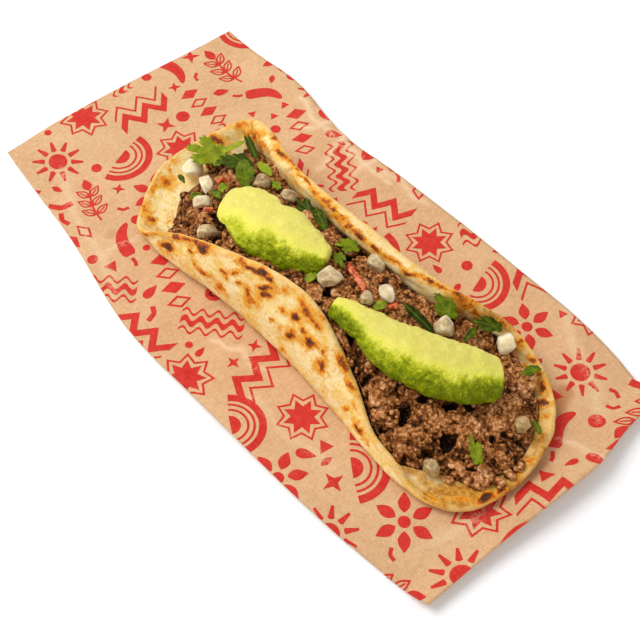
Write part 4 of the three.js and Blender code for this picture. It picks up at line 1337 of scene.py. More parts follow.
def makeAvocadoLook():
    moist = {"Subsurface_Weight": 0.06, "Subsurface_Scale": 0.002}
    flesh = Finish("avocadoFlesh", 0.42, Specular_IOR_Level=0.08, **moist)
    mottle = flesh.noise(2.6, 4)
    fine = flesh.noise(0.7, 3)
    flow = flesh.noise(2.2, 3, stretch=(0.4, 1.3, 1.3))
    pits = flesh.knobs(1.5, 0.6)
    crest = flesh.layer("crest")
    uneven = (mottle - 0.5) * 0.6 + (flow - 0.5) * 0.4 + (fine - 0.5) * 0.4
    green = (flesh.layer("green") + uneven).clipped()
    rough = flesh.layer("green").between(0.25, 0.85)
    colour = flesh.ramp(green, [
        (0.0, (222, 210, 104)), (0.25, (230, 220, 102)), (0.5, (230, 225, 90)),
        (0.68, (194, 197, 42)), (0.84, (144, 154, 6)), (1.0, (102, 116, 0)),
    ])
    colour = flesh.blend(flow.between(0.5, 0.7) * (1 - green) * 0.6, colour, (236, 226, 134))
    dots = flesh.noise(1.1, 2).between(0.6, 0.74)
    colour = flesh.blend(dots * 0.35, colour, (196, 190, 40))
    knobs = crest * 0.7 + pits * 0.3
    # painted shade in the hollows between the knobs on the green side
    paintedHollowShade = (1 - knobs.between(0.05, 0.5)) * rough
    colour = flesh.blend(paintedHollowShade * 0.62, colour, (96, 104, 0))
    # painted highlight on the knobs' tops
    colour = flesh.blend(knobs.between(0.75, 1.0) * (1 - green * 0.6) * 0.34, colour, (222, 218, 84))
    flesh.feed("Base Color", colour)
    flesh.feed("Roughness", 0.56 - fine * 0.26)
    relief = flesh.bump(flow, 0.5, 0.5, flesh.bump(mottle, 0.5, 0.4))
    flesh.feed("Normal", flesh.bump(fine, 0.45, 0.8, flesh.bump(pits * rough, 0.5, 0.8, relief)))
    return flesh.material


avocadoLook = makeAvocadoLook()
for index, cut in enumerate(avocado["slices"]):
    makeAvocado(index, cut, avocadoLook)
print("avocado made")


# Onion dice: along, across, height of the middle, length, width, thickness, turn, tilt, whiteness.

onion = {
    "cells": 14,
    "crispness": 7.5,
    "dice": [
        (-87.8, 2.9, 9.4, 9.4, 8, 4.6, 54, 8, 1.0), (-72.4, -0.6, 14.6, 9.4, 5.2, 4.4, -26, 10, 0.8),
        (-61.2, -10.8, 21.6, 8, 4.8, 4, 50, 10, 0.45), (-47.6, -19.8, 23, 8.4, 5.4, 4.2, 45, -12, 0.2),
        (-49.4, 10.3, 27, 6.4, 6, 4.6, 34, 6, 0.05), (-35.9, 12.3, 28.6, 6.8, 5.4, 4, 31, 14, 0.1),
        (7.6, -5.4, 35.8, 8.8, 7, 4.4, 50, 4, 0.3), (24.6, 7.2, 31.2, 8, 5.8, 3.6, -29, 10, 0.6),
        (22.4, -1.4, 34.2, 5.4, 4.4, 3.4, 33, 0, 0.3), (45.9, 15.7, 24, 7.8, 7, 4.0, 48, 8, 0.4),
        (63.2, 32.2, 15.8, 7.6, 6, 5, -30, 16, 0.95), (11.4, 14.6, 30.2, 8, 5, 3.6, -3, 20, 0.3),
        (77.6, -21.4, 8.2, 6, 4.6, 3.6, 15, -6, 0.05), (89.4, 13.2, 12.2, 6, 5, 4, 65, 4, 0.0),
    ],
}


def cubeBall(cells):
    # Directions over a ball and quads between them, from a cube's six gridded faces.
    line = np.tan(np.linspace(-1, 1, cells + 1) * math.pi / 4)
    a, b = np.meshgrid(line, line, indexing="ij")
    one = np.ones_like(a)
    sides = [(one, a, b), (-one, b, a), (b, one, a), (a, -one, b), (a, b, one), (b, a, -one)]
    points = np.concatenate([np.stack(s, -1).reshape(-1, 3) for s in sides])
    faces = np.concatenate([gridFaces(cells + 1, cells + 1) + k * (cells + 1) ** 2 for k in range(6)])
    _, first, back = np.unique(np.round(points, 5), axis=0, return_index=True, return_inverse=True)
    points = points[first]
    faces = back.reshape(-1)[faces]
    return points / np.linalg.norm(points, axis=1, keepdims=True), faces


def cutForm(directions, planes, crispness):
    # A body bounded by flat cuts, each (x, y, z, distance), with its edges a little rounded. Also how near
    # each point is to an edge, from 0 on the flats to 1.
    terms = []
    for x, y, z, distance in planes:
        normal = np.array([x, y, z]) / math.sqrt(x * x + y * y + z * z)
        terms.append(np.maximum(directions @ normal / distance, 1e-3))
    ordered = np.sort(terms, axis=0)
    total = np.sum(ordered ** crispness, axis=0)
    return directions * (total ** (-1 / crispness))[:, None], smoothStep(0.6, 1, ordered[-2] / ordered[-1])


def makeOnion(index, row, material):
    along, across, height, length, width, thickness, turn, tilt, whiteness = row
    ball, faces = cubeBall(onion["cells"])
    seed = 200 + index
    draw = np.random.default_rng(seed)
    planes = [(draw.uniform(-0.1, 0.1), draw.uniform(-0.1, 0.1), side, 1) for side in (1, -1)]
    sides = draw.integers(4, 6)
    start = draw.uniform(0, 2 * math.pi) if sides > 4 else draw.uniform(-0.2, 0.2)
    for k in range(sides):
        angle = start + 2 * math.pi * (k + draw.uniform(-0.14, 0.14)) / sides
        planes.append((math.cos(angle), math.sin(angle), draw.uniform(-0.25, 0.25), draw.uniform(0.86, 1.0)))
    # one chipped corner
    planes.append((*draw.normal(size=3), draw.uniform(1.02, 1.15)))
    form, edge = cutForm(ball, planes, onion["crispness"])
    x, y, z = form.T
    own = np.stack([x * length / 2, y * width / 2, z * thickness / 2], -1)
    # each piece keeps some of the onion's curve
    own[:, 2] += 0.1 * thickness * (1.5 - (2.2 * x) ** 2)
    own = own + ball * (0.42 * softNoise(own, 2.8, seed) + 0.16 * softNoise(own, 1.0, seed + 1))[:, None]
    points = settled(own, (along, across, height), turn, 0, tilt)
    layers = {"grain": own[:, 1] / 4, "white": np.full(len(points), whiteness), "edge": edge}
    number = "_%02d" % (index + 1)
    addTopping("onionDice" + number, points, faces, material, layers, "onion_flesh", "onion" + number)


def makeOnionLook():
    milky = {"Subsurface_Weight": 0.6, "Subsurface_Scale": 0.005, "Subsurface_Radius": (1.0, 0.88, 0.66)}
    flesh = Finish("onionFlesh", 0.26, Specular_IOR_Level=0.25, Coat_Weight=0.2, Coat_Roughness=0.08, **milky)
    cloud = flesh.noise(1.8, 3).between(0.35, 0.65)
    clear = flesh.noise(2.8, 3).between(0.44, 0.64)
    veins = flesh.threads("grain", 1.6)
    white = flesh.layer("white")
    pale = flesh.blend(cloud, (244, 220, 170), (255, 240, 206))
    pale = flesh.blend(clear * 0.45, pale, (226, 190, 122))
    hazy = flesh.blend(cloud, (152, 120, 66), (198, 168, 112))
    # painted glints: small pale flecks on the duller pieces
    hazy = flesh.blend(flesh.noise(1.0, 2).between(0.6, 0.7) * 0.5, hazy, (244, 232, 200))
    dull = flesh.blend(clear * 0.9, hazy, (118, 78, 34))
    colour = flesh.blend(white, dull, pale)
    bright = flesh.blend(white, (216, 190, 138), (255, 248, 226))
    colour = flesh.blend(veins.between(0.48, 0.68) * 0.4, colour, bright)
    # painted highlight along the pieces' edges, stronger on the whiter ones
    colour = flesh.blend(flesh.layer("edge") * (white * 0.45 + 0.05), colour, (255, 244, 216))
    flesh.feed("Base Color", colour)
    flesh.feed("Normal", flesh.bump(veins, 0.3, 0.6))
    return flesh.material


onionLook = makeOnionLook()
for index, row in enumerate(onion["dice"]):
    makeOnion(index, row, onionLook)
print("onion made")


# Herb pieces: along, across, height, length, width, turn of the tip, tilt along, tilt across, curl, lightness
# and how deep the notches between the lobes are.

herb = {
    "thickness": 0.3,
    "waves": (0.4, 0.14),  # heights of the broad and the narrow ones
    "veinWidth": 0.22,
    "veinDepth": 0.16,
    "around": 120,
    "rings": 6,
    # how far a lobed leaf's edge lies from its base, by the angle from its tip in degrees
    "outline": [
        (0, 1.0), (11, 0.98), (21, 0.86), (28, 0.58), (36, 0.82), (48, 0.98), (62, 0.98), (76, 0.84),
        (86, 0.54), (96, 0.7), (110, 0.7), (128, 0.48), (152, 0.28), (180, 0.16),
    ],
    "teeth": 13.0,  # degrees from tooth to tooth
    "lobes": [0, 55, 106],
    "reach": (0.42, 0.58, 0.82),  # middle, half length and half width of that outline
    "slim": (0.34, 0.48),  # widths to a length below and above which a piece is a plain blade or a lobed leaf
    "pieces": [
        (-88.9, 9.9, 14.2, 16.4, 12, -150, 0, -10, 1.2, 0.85, 1),
        (-68.1, 10.7, 22.6, 15, 10.6, -131, -6, 10, 1.4, 0.25, 0.3),
        (-73.2, 24.8, 18, 16, 3.6, 158, -3, -30, 0.4, 0.2, 0.5),
        (-55.8, 17.6, 24.2, 11.6, 3.6, -6, 8, 14, 0.5, 0.95, 0.5),
        (-68.3, -9.7, 17.6, 5.6, 3.2, -99, -10, 0, 1, 0.6, 0.5),
        (-60, -5.2, 22.6, 8.6, 3.2, -6, 10, 0, 1, 0.5, 0.5),
        (-27, 12.8, 30.2, 9.6, 5.8, 179, -3, -12, 0.9, 0.1, 0.8),
        (-18.2, 13.6, 30, 12, 4.4, 156, -6, -14, 0.8, 0.3, 0.7),
        (-1.1, 10.6, 31.6, 8.7, 6.4, -130, 3, 0, 1, 0.7, 0.8),
        (3.4, 3.6, 33.6, 8, 4.6, -31, 3, 0, 0.7, 0.55, 0.8),
        (27.6, 1.2, 32.5, 5, 4, 71, -5, 0, 0.4, 0.9, 0.6),
        (38.8, 9.3, 28.6, 15, 4, -177, 10, 0, 0.6, 0.0, 0.3),
        (40, 21.9, 24.9, 10.8, 7.6, 165, 9, -14, 0.9, 0.5, 0.7),
        (54.2, 30, 20.6, 11.4, 5.2, -145, 7, -20, 0.7, 0.25, 0.8),
        (53.9, 22.5, 21, 8.6, 3.2, -75, 6, 0, 0.5, 0.3, 0.5),
        (76.8, 31, 13.2, 9.2, 3.8, -106, 8, 0, 0.6, 0.5, 0.8),
        (85.4, -8.8, 15.8, 9.4, 4.6, 156, 16, 0, 0.9, 0.75, 0.7),
        (93.4, 16.2, 11.8, 5.6, 2.4, 158, 5, 0, 0.4, 0.4, 0.5),
        (-58.7, 9.2, 25.6, 18, 7.4, -35, 6, 0, 1, 0.5, 0.25),
        (-78.9, 19.3, 17.8, 10.6, 3, 70, 8, 0, 0.5, 1.0, 0.5),
        (-84.6, -4.8, 11.6, 5.4, 2.4, -13, 3, 0, 0.4, 0.1, 0.5),
        (-59.6, -1, 24.8, 4.6, 3.4, 102, 6, 0, 0.5, 0.75, 0.8),
        (-44.6, 13.6, 27.4, 5.4, 3.2, 171, -10, 0, 0.4, 0.7, 0.6),
        (2.4, -9.6, 34.4, 5, 3.8, 83, 0, 0, 0.4, 0.85, 0.6),
    ],
}


def bladeEdge(angle):
    # A plain oval with the same middle and half sizes as the lobed outline.
    middle, halfLength, halfWidth = herb["reach"]
    c, s = np.cos(angle), np.sin(angle)
    a = (c / halfLength) ** 2 + (s / halfWidth) ** 2
    b = middle * c / halfLength ** 2
    return (b + np.sqrt(b * b + a * (1 - (middle / halfLength) ** 2))) / a


def makeHerb(index, row, material):
    along, across, height, length, width, turn, tiltAlong, tiltAcross, curl, lightness, notch = row
    around, rings = herb["around"], herb["rings"]
    seed = 300 + 7 * index
    angle = np.linspace(-math.pi, math.pi, around, endpoint=False)
    ringPlace = np.stack([np.cos(angle), np.sin(angle), 0 * angle], -1)
    drift = 8 * softNoise(ringPlace, 0.8, seed)
    degrees = np.degrees(np.abs(angle))
    edge = through(herb["outline"], np.clip(degrees + drift * np.sin(np.abs(angle)), 0, 180))
    tooth = 1 - np.abs(np.sin(math.pi * (degrees + drift) / herb["teeth"]))
    lobed = smoothStep(*herb["slim"], width / length)
    edge = mixed(bladeEdge(angle) * 1.04, edge, (0.12 + 0.88 * lobed) * notch)
    edge = edge * (1 - (0.06 + 0.1 * lobed) * tooth * (1 - smoothStep(110, 150, degrees)))
    edge = edge * (1 + 0.13 * softNoise(ringPlace, 0.5, seed + 1))
    scale = np.linspace(1, 0, rings + 1)[:-1] ** 0.8
    middle, halfLength, halfWidth = herb["reach"]
    radial = np.append((edge[None] * scale[:, None]).ravel(), 0)
    sweep = np.append(np.tile(angle, rings), 0)
    x = (radial * np.cos(sweep) - middle) / halfLength * length / 2
    y = radial * np.sin(sweep) / halfWidth * width / 2
    veins = 0 * x
    for lobe in herb["lobes"]:
        off = np.abs(np.degrees(np.abs(sweep)) - lobe) * np.pi / 180 * radial * width / 2
        strength = 1 if lobe == 0 else lobed * (1 - 0.5 * lobe / 110)
        veins = np.maximum(veins, np.exp(-(off / herb["veinWidth"]) ** 2) * strength)
    flat = np.stack([x, y, 0 * x], -1)
    bow = np.sin(2.6 * x / length + 0.6) + 2.6 * (y / width) ** 2 + 0.5 * lobed * np.sin(3 * sweep) * radial
    broad, narrow = herb["waves"]
    z = curl * bow + broad * softNoise(flat, 2.6, seed + 2) + narrow * softNoise(flat, 1.1, seed + 3)
    z = z - herb["veinDepth"] * veins
    midSkin = np.stack([x, y, z], -1)
    count = len(midSkin)
    faces = discFaces(rings, around)
    thin = np.append(np.repeat(np.where(scale > 0.97, 0.4, 1.0), around), 1)
    half = np.stack([0 * z, 0 * z, herb["thickness"] / 2 * thin], -1)
    rim = [(k, (k + 1) % around, (k + 1) % around + count, k + count) for k in range(around)]
    allFaces = faces + [tuple(i + count for i in f[::-1]) for f in faces] + rim
    allFaces = [f[::-1] for f in allFaces] if facesDown(midSkin, faces) else allFaces
    own = np.concatenate([midSkin + half, midSkin - half])
    points = settled(own, (along, across, height), turn, tiltAlong, tiltAcross)
    layers = {"vein": np.tile(veins, 2), "light": np.full(2 * count, lightness)}
    number = "_%02d" % (index + 1)
    addTopping("herbLeaf" + number, points, allFaces, material, layers, "herb_leaf", "cilantro" + number)


def facesDown(points, faces):
    # Whether a flat skin's faces look downwards.
    a, b, c = (points[faces[0][k]] for k in range(3))
    return np.cross(b - a, c - a)[2] < 0


def makeHerbLook():
    leaf = Finish("herbLeaf", 0.42, Specular_IOR_Level=0.07)
    cloud = leaf.noise(2.4, 3)
    fine = leaf.noise(0.5, 2)
    tone = (leaf.layer("light") * 0.8 + (cloud - 0.5) * 0.8 + (fine - 0.5) * 0.3 + 0.08).clipped()
    colour = leaf.ramp(tone, [
        (0.0, (26, 36, 0)), (0.3, (56, 72, 0)), (0.6, (104, 120, 6)), (1.0, (160, 168, 44)),
    ])
    colour = leaf.blend(leaf.layer("vein") * 0.3, colour, (144, 156, 60))
    leaf.feed("Base Color", colour)
    leaf.feed("Roughness", 0.46 - fine * 0.16)
    leaf.feed("Normal", leaf.bump(fine, 0.12, 0.5, leaf.bump(cloud, 0.3, 0.4)))
    return leaf.material


herbLook = makeHerbLook()
for index, row in enumerate(herb["pieces"]):
    makeHerb(index, row, herbLook)
print("herbs made")


# Tomato shreds: along, across, height of the middle, length, width, thickness, turn, tilt.

tomato = {
    "along": 40,
    "around": 20,
    "shreds": [
        (12.4, 3.4, 32.4, 15, 2.8, 2, -24, -2), (29.8, 5.2, 30.4, 4, 3, 2, 20, 0),
        (-65, 2.2, 21.6, 4.6, 2.8, 2, 20, 0), (-54.4, -13.4, 25.4, 3.6, 2.6, 2, 0, 0),
    ],
}


def makeTomato(index, row, material):
    along, across, height, length, width, thickness, turn, tilt = row
    stations, around = tomato["along"], tomato["around"]
    t = np.linspace(-1, 1, stations)
    angle = np.linspace(0, 2 * math.pi, around, endpoint=False)
    close = np.sqrt(np.clip(1 - np.abs(t) ** 4, 0, 1))
    slim = (1 - 0.28 * t * t) * close
    x = np.repeat((t * length / 2)[:, None], around, axis=1)
    bow = 0.8 * np.sin(2.5 * t)[:, None]
    y = slim[:, None] * width / 2 * np.cos(angle)[None] + bow
    z = slim[:, None] * thickness / 2 * np.sin(angle)[None] + 0.25 * np.cos(3.5 * t)[:, None]
    points = np.stack([x, y, z], -1)
    outward = unit(points - np.stack([x, x * 0 + bow, x * 0], -1))
    points = points + outward * (0.45 * softNoise(points, 1.4, 400 + index) * close[:, None])[..., None]
    flat = settled(capped(points), (along, across, height), turn, tilt, 0)
    number = "_%02d" % (index + 1)
    faces = tubeFaces(stations, around)
    addTopping("tomatoShred" + number, flat, faces, material, None, "tomato_flesh", "tomato" + number)


def makeTomatoLook():
    flesh = Finish("tomatoFlesh", 0.3, Subsurface_Weight=0.1, Subsurface_Scale=0.002)
    mottle = flesh.noise(1.4, 4)
    flesh.feed("Base Color", flesh.ramp(mottle.between(0.3, 0.7), [
        (0.0, (150, 44, 16)), (0.5, (200, 80, 34)), (1.0, (232, 130, 66)),
    ]))
    flesh.feed("Normal", flesh.bump(mottle, 0.4, 0.6))
    return flesh.material


tomatoLook = makeTomatoLook()
for index, row in enumerate(tomato["shreds"]):
    makeTomato(index, row, tomatoLook)
print("tomato made")


# Ground beef: lumps and crumbs of several sizes over a dark core.

beef = {
    "sink": 2.2,  # how far the core lies below the heap's bare top
    "around": 420,  # the core's cells from tip to tip along each side
    "inward": 88,
    "clump": 10.0,  # size of the core's clumps
    "grain": 2.0,  # size of the meat's grains
    "fine": 1.25,
    "relief": (4.6, 1.6, 1.2),  # heights of the core's clumps, of those half as large and of its grains
    "along": (-90, 101),  # where lumps are tried
    "across": (-32, 34),
    "tries": 80,  # for each lump that is wanted
    "flatness": 0.85,
    "seed": 9,
    # name, cells of each lump's ball, how many, smallest and largest radius, spacing in radii, rise over
    # the bare top in radii, how many shapes, blobs in a shape
    "kinds": [
        ("beefClumps", 18, 38, 4.2, 6.0, 0.72, -0.28, 12, 9),
        ("beefLumps", 11, 84, 2.6, 3.9, 0.64, -0.26, 12, 7),
        ("beefChunks", 7, 140, 1.6, 2.5, 0.62, -0.45, 12, 5),
        ("beefCrumbs", 4, 260, 0.8, 1.5, 0.6, -0.5, 10, 3),
    ],
    # dark gaps in the heap, sunk into the core and given painted shade: pixel, radius and depth in mm
    "gaps": [
        ((405, 417), 1.9, 4), ((450, 407), 1.9, 4), ((448, 440), 2.1, 5), ((325, 290), 2.4, 4),
        ((343, 257), 2.4, 4), ((352, 338), 1.4, 3), ((366, 380), 1.5, 3), ((384, 432), 1.2, 3),
        ((404, 462), 1.1, 2), ((430, 457), 1.6, 3), ((492, 436), 1.1, 3), ((505, 434), 1.0, 2),
        ((470, 404), 1.6, 3), ((424, 395), 1.6, 3), ((222, 190), 1.6, 3), ((215, 240), 1.6, 3),
    ],
    # lumps that lie by themselves on the bread: pixel and radius
    "strays": [
        ((462, 477), 3.4), ((473, 483), 2.8), ((487, 481), 3.3), ((499, 484), 2.3), ((436, 470), 2.6),
        ((448, 481), 1.7), ((508, 477), 2.2), ((518, 467), 2.6), ((428, 460), 2.2), ((481, 487), 1.7),
        ((212, 167), 2.7), ((219, 173), 3.2), ((210, 178), 2.2), ((216, 187), 2.7), ((206, 194), 2.2),
        ((224, 164), 2.3), ((194, 205), 2.7), ((187, 213), 2.3), ((199, 213), 3.0), ((180, 222), 2.4),
    ],
}


def fillTop(along, across):
    # The top of the bare filling over a place on the taco.
    near, crown, far = [through(column(filling["levels"], j), along) for j in (1, 2, 3)]
    low = through(filling["near"], along)
    high = through(filling["far"], along)
    w = np.clip((across - (low + high) / 2) / ((high - low) / 2), -1.3, 1.3)
    level = crown + (far - near) / 2 * w + ((near + far) / 2 - crown) * w * w

    def ease(x):
        return np.where(x < 0, x, np.sin(np.clip(x, 0, 1) * math.pi / 2))

    left = ease((along - through(filling["left"], across)) / filling["leftSlope"])
    right = ease((through(filling["right"], across) - along) / filling["rightSlope"])
    return filling["floor"] + (level - filling["floor"]) * np.minimum(left, right)


def fillRays(around, steps, lift):
    # Rays of the filling's top and bottom, each from where it meets the tortilla in to the middle.
    least = filling["leastDepth"]
    net, normal = breadNet(around, np.linspace(0, 1, filling["raySteps"] + 1))
    inner = net + normal * lift
    depth = fillTop(inner[..., 0], inner[..., 1]) - inner[..., 2]
    tops, bottoms = [], []
    for ray, deep in zip(inner, depth):
        j = 1
        while j < len(ray) - 2 and deep[j] < least:
            j += 1
        part = np.clip((least - deep[j - 1]) / (deep[j] - deep[j - 1]), 0, 1)
        start = mixed(ray[j - 1], ray[j], part)
        floor = np.vstack([start, ray[j:]])
        at = np.linspace(0, len(floor) - 1, steps + 1)
        bottom = np.stack([np.interp(at, np.arange(len(floor)), floor[:, k]) for k in range(3)], -1)
        top = mixed(start, ray[-1], np.linspace(0, 1, steps + 1)[:, None])
        top[1:, 2] = fillTop(top[1:, 0], top[1:, 1])
        tops.append(top)
        bottoms.append(bottom)
    return np.array(tops), np.array(bottoms)


def insideRing(ring, along, across, margin):
    # Whether a place lies inside a ring of points, by at least a margin.
    a, b = ring, np.roll(ring, -1, axis=0)
    rise = np.where(b[:, 1] == a[:, 1], 1e-9, b[:, 1] - a[:, 1])
    crossing = a[:, 0] + (b[:, 0] - a[:, 0]) * (across - a[:, 1]) / rise
    inside = np.sum(((a[:, 1] > across) != (b[:, 1] > across)) & (along < crossing)) % 2 == 1
    nearest = np.hypot(ring[:, 0] - along, ring[:, 1] - across).min()
    return inside and nearest > margin


def gapPlaces():
    # Where the dark gaps are on the bare heap, in the taco's own frame, with their radii and depths.
    places = []
    for pixel, radius, depth in beef["gaps"]:
        height = 20.0  # a first guess
        for _ in range(7):
            at = offPaper(onTable(pixel, height))
            height = float(fillTop(at[0], at[1]))
        places.append((at, radius, depth))
    return places


def grained(points):
    # How far the meat's grains stand out, from 0 in the creases to about 1.
    uneven = bent(points, 2.6, 0.5, 90)
    return np.maximum(domes(uneven, beef["grain"], 93, 0.74), 0.84 * domes(uneven, beef["fine"], 97, 0.74))


def makeCore(tops, bottoms, gaps, material):
    rays, rings = tops.shape[:2]
    inner = smoothStep(0, 0.06, np.linspace(0, 1, rings))[None]
    sunk = tops.copy()
    depth = np.maximum(tops[..., 2] - bottoms[..., 2], 0)
    uneven = bent(tops, 9, 2.2, 87) * (1, 1, 0.3)
    clumps = domes(uneven, beef["clump"], 91, 0.82)
    small = domes(uneven, 0.5 * beef["clump"], 96, 0.82)
    grains = grained(tops)
    coarse, middling, fine = beef["relief"]
    lift = -beef["sink"] + coarse * (clumps - 0.5) + middling * (small - 0.45) + fine * (grains - 0.4)
    paintedHollowShade = np.zeros_like(depth)
    wavy = bent(tops, 3.2, 1.6, 105)
    for at, radius, deep in gaps:
        here = np.exp(-(np.hypot(wavy[..., 0] - at[0], wavy[..., 1] - at[1]) / (1.3 * radius)) ** 4)
        lift = lift - deep * here
        paintedHollowShade = np.maximum(paintedHollowShade, here)
    sunk[..., 2] += np.maximum(lift, -0.75 * depth) * inner
    under = bottoms[:, ::8]
    count = rays * rings
    faces = gridFaces(rays, rings, wrapRows=True)[:, ::-1]
    underFaces = gridFaces(rays, under.shape[1], wrapRows=True) + count
    points = np.concatenate([sunk.reshape(-1, 3), under.reshape(-1, 3)])
    # painted shade and highlight: lighter on the clumps and grains, darker in their creases and in the gaps
    crest = ((0.35 + 0.65 * grains) * (0.22 + 0.56 * clumps + 0.22 * small) * (1 - paintedHollowShade)).ravel()
    # painted shade: a low tone for the core, and a far lower one in the gaps
    dark = 0.35 * (1 - paintedHollowShade) - 0.5 * paintedHollowShade
    none = np.zeros(len(points) - count)
    layers = {"tint": np.concatenate([dark.ravel(), none]), "crest": np.concatenate([crest, none])}
    allFaces = np.concatenate([faces, underFaces])
    made = makeObject("beefCore", onPaper(points), allFaces, material, layers, "ground_beef", ["beef"])
    weld(made)


def lumpShape(ball, radius, blobs, seed):
    # A lump in mm: a few round blobs run together, with grains all over. Also how light each point is
    # painted, with painted shade in the creases between grains and blobs.
    draw = np.random.default_rng(seed)
    reach = np.full(len(ball), 0.45)
    for _ in range(blobs):
        way = draw.normal(size=3)
        middle = way / np.linalg.norm(way) * draw.uniform(0.3, 0.52)
        size = draw.uniform(0.54, 0.64)
        ahead = ball @ middle
        reach = np.maximum(reach, ahead + np.sqrt(size ** 2 - middle @ middle + ahead ** 2))
    body = ball * (reach * radius)[:, None]
    grains = grained(body + 40 * seed)
    crest = np.clip(0.35 + 0.65 * grains - 1.1 * (1 - np.clip(reach / 0.95, 0, 1)), 0, 1)
    return body + ball * (1.2 * (grains - 0.5) * min(1, radius / 2.4))[:, None], crest


def randomTurn(draw):
    # A turn by an even random quaternion, as a 3 by 3 matrix.
    w, x, y, z = draw.normal(size=4)
    n = math.sqrt(w * w + x * x + y * y + z * z)
    w, x, y, z = w / n, x / n, y / n, z / n
    return np.array([
        [1 - 2 * (y * y + z * z), 2 * (x * y - w * z), 2 * (x * z + w * y)],
        [2 * (x * y + w * z), 1 - 2 * (x * x + z * z), 2 * (y * z - w * x)],
        [2 * (x * z - w * y), 2 * (y * z + w * x), 1 - 2 * (x * x + y * y)],
    ])


def sunkBelow(tree, centre, radius):
    # Lowers a crumb until it clears the toppings. None if it can't.
    for drop in range(7):
        at = centre - (0, 0, 0.45 * radius * drop)
        if tree.find_nearest(Vector(onPaper(at)), radius * 0.7)[0] is None:
            return at
    return None


def strayPlaces(breadTree):
    # Centres and radii of the lumps that lie on the bread, in the taco's own frame.
    places = []
    for pixel, radius in beef["strays"]:
        hit = breadTree.ray_cast(*rayOf(pixel))[0]
        places.append((offPaper(np.array(hit)) + (0, 0, 0.55 * radius), radius))
    return places


def toppingTree():
    # All the toppings as one body, to find which of them lies near.
    points, faces = [], []
    for topping, sides in taken:
        offset = len(points)
        points += [tuple(p) for p in topping]
        faces += [tuple(offset + int(k) for k in f) for f in sides]
    return BVHTree.FromPolygons(points, faces)


def makeLumps(name, cells, size, shapes, blobs, places, draw, material):
    # All lumps of one kind, as one mesh. Each is one of a few shapes, turned and stretched at random.
    ball, sides = cubeBall(cells)
    forms = [lumpShape(ball, size, blobs, 500 + 20 * k + cells) for k in range(shapes)]
    lumps, faces, tints, crestShadings = [], [], [], []
    for made, (centre, radius) in enumerate(places):
        form, crest = forms[draw.integers(shapes)]
        lump = form * (radius / size * draw.uniform(0.82, 1.18, 3))
        lump = lump @ randomTurn(draw).T * (1, 1, beef["flatness"]) + centre
        lumps.append(lump)
        faces.append(sides + made * len(ball))
        tints.append(np.full(len(ball), draw.random()))
        # painted shade on the lumps' undersides
        under = smoothStep(-0.7, 0.35, (lump[:, 2] - centre[2]) / radius)
        crestShadings.append(crest * (0.15 + 0.85 * under))
    layers = {"tint": np.concatenate(tints), "crest": np.concatenate(crestShadings)}
    makeObject(name, onPaper(np.concatenate(lumps)), np.concatenate(faces), material, layers, "ground_beef")
    print(name, len(places), "lumps,", len(places) * len(sides) * 2, "triangles")


def makeBeef(material, breadTree):
    draw = np.random.default_rng(beef["seed"])
    tops, bottoms = fillRays(beef["around"], beef["inward"], bread["thickness"] / 2 + 0.5)
    gaps = gapPlaces()
    makeCore(tops, bottoms, gaps, material)
    ring = tops[::4, 0]
    toppings = toppingTree()
    strays = strayPlaces(breadTree)
    sofar = np.zeros((0, 4))  # centre and radius of every lump that is placed

    def tried(smallest, largest, spacing, rise):
        # A random centre and radius, or None where a lump doesn't fit.
        along, across = draw.uniform(*beef["along"]), draw.uniform(*beef["across"])
        radius = mixed(smallest, largest, draw.random())
        if not insideRing(ring, along, across, 0.15 * radius):
            return None
        height = float(fillTop(along, across))
        if height < filling["floor"] + 0.6:
            return None
        centre = np.array([along, across, height + (rise + draw.uniform(-0.3, 0.3)) * radius])
        apart = np.linalg.norm(sofar[:, :3] - centre, axis=1)
        if np.any(apart < spacing * (sofar[:, 3] + radius)):
            return None
        if any(math.hypot(along - at[0], across - at[1]) < wide + 0.55 * radius for at, wide, _ in gaps):
            return None
        centre = sunkBelow(toppings, centre, radius)
        if centre is None or centre[2] - 0.4 * radius < filling["floor"] * 0.5:
            return None
        if breadTree.find_nearest(Vector(onPaper(centre)), 0.62 * radius)[0] is not None:
            return None
        return centre, radius

    for name, cells, wanted, smallest, largest, spacing, rise, shapes, blobs in beef["kinds"]:
        places = [place for place in strays if smallest <= place[1] <= largest]
        tries = 0
        while len(places) < wanted and tries < wanted * beef["tries"]:
            tries += 1
            place = tried(smallest, largest, spacing, rise)
            if place:
                places.append(place)
                sofar = np.vstack([sofar, [*place[0], place[1]]])
        makeLumps(name, cells, (smallest + largest) / 2, shapes, blobs, places, draw, material)


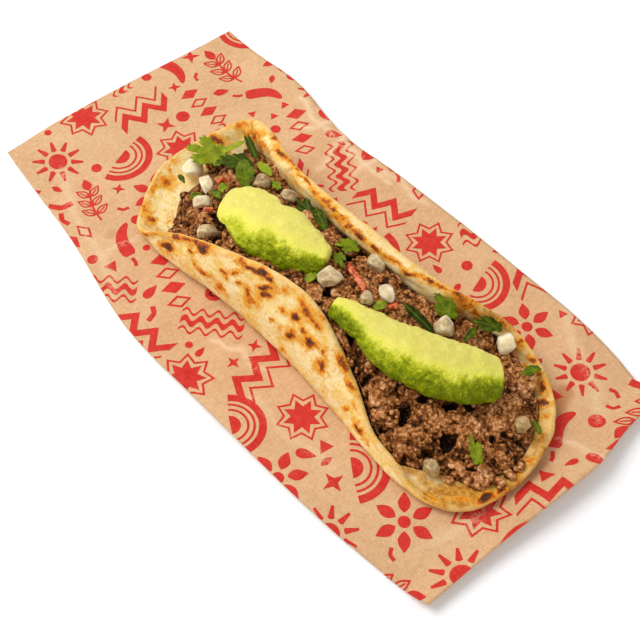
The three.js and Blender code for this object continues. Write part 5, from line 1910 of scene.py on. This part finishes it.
def makeBeefLook():
    meat = Finish("groundBeef", 0.5, Specular_IOR_Level=0.12)
    mottle = meat.noise(1.1, 4)
    broad = meat.noise(9, 2)
    pink = meat.noise(2.6, 2)
    grains = meat.knobs(1.8, 0.6)
    specks = meat.knobs(0.9)
    knobs = (grains * 0.68 + specks * 0.32).between(0.0, 0.88)
    crest = meat.layer("crest")
    # crest, the knobs' tops and the low tone of the gaps paint highlight and shade into the meat's colour
    tone = crest * 0.9 + knobs * 0.6 + (mottle - 0.5) * 0.6 + (broad - 0.5) * 0.8 + meat.layer("tint") * 0.25
    # paler towards the right end
    tone = tone + meat.node("SeparateXYZ", {}, {"Vector": meat.place}, "X") * 0.9
    colour = meat.ramp((tone - 0.5).clipped(), [
        (0.0, (28, 11, 0)), (0.21, (82, 42, 10)), (0.43, (144, 86, 38)),
        (0.69, (198, 132, 76)), (1.0, (240, 186, 136)),
    ])
    colour = meat.blend(pink.between(0.52, 0.72) * 0.3 * tone.clipped(), colour, (170, 98, 60))
    meat.feed("Base Color", colour)
    meat.feed("Roughness", 0.62 - mottle * 0.4)
    meat.feed("Normal", meat.bump(mottle, 0.35, 0.6, meat.bump(grains * 0.75 + specks * 0.25, 0.95, 0.95)))
    return meat.material


makeBeef(makeBeefLook(), breadTree)
print("beef made")


# Floor, light and camera view.

stage = {
    "floor": 3.0,  # its width, in metres
    "floorHeight": -0.05,  # in mm, just clear of the paper
    "world": 0.68,
    "key": 8.3,
    "keyPlace": (-0.52, -0.32, 0.95),
    "keySize": 0.7,
}


def makeStage():
    half = stage["floor"] / 2 / mm
    square = [(-half, -half), (half, -half), (half, half), (-half, half)]
    corners = [(x, y, stage["floorHeight"]) for x, y in square]
    white = Finish("paleFloor", 0.9)
    grain = white.noise(60, 2)
    white.feed("Base Color", white.blend(grain * 0.2, (252, 252, 253), (249, 249, 250)))
    floor = makeObject("floor", corners, [(0, 1, 2, 3)], white.material)
    world = bpy.data.worlds.new("softWorld")
    world.use_nodes = True
    background = world.node_tree.nodes["Background"].inputs
    background["Color"].default_value = (1, 1, 1, 1)
    background["Strength"].default_value = stage["world"]
    bpy.context.scene.world = world
    data = bpy.data.lights.new("key", "AREA")
    data.shape = "DISK"
    data.size = stage["keySize"]
    data.energy = stage["key"]
    light = bpy.data.objects.new("key", data)
    light.location = stage["keyPlace"]
    light.rotation_euler = (-Vector(stage["keyPlace"])).to_track_quat("-Z", "Y").to_euler()
    bpy.context.scene.collection.objects.link(light)
    bpy.context.scene.view_settings.view_transform = "Standard"


makeStage()
print("stage made")
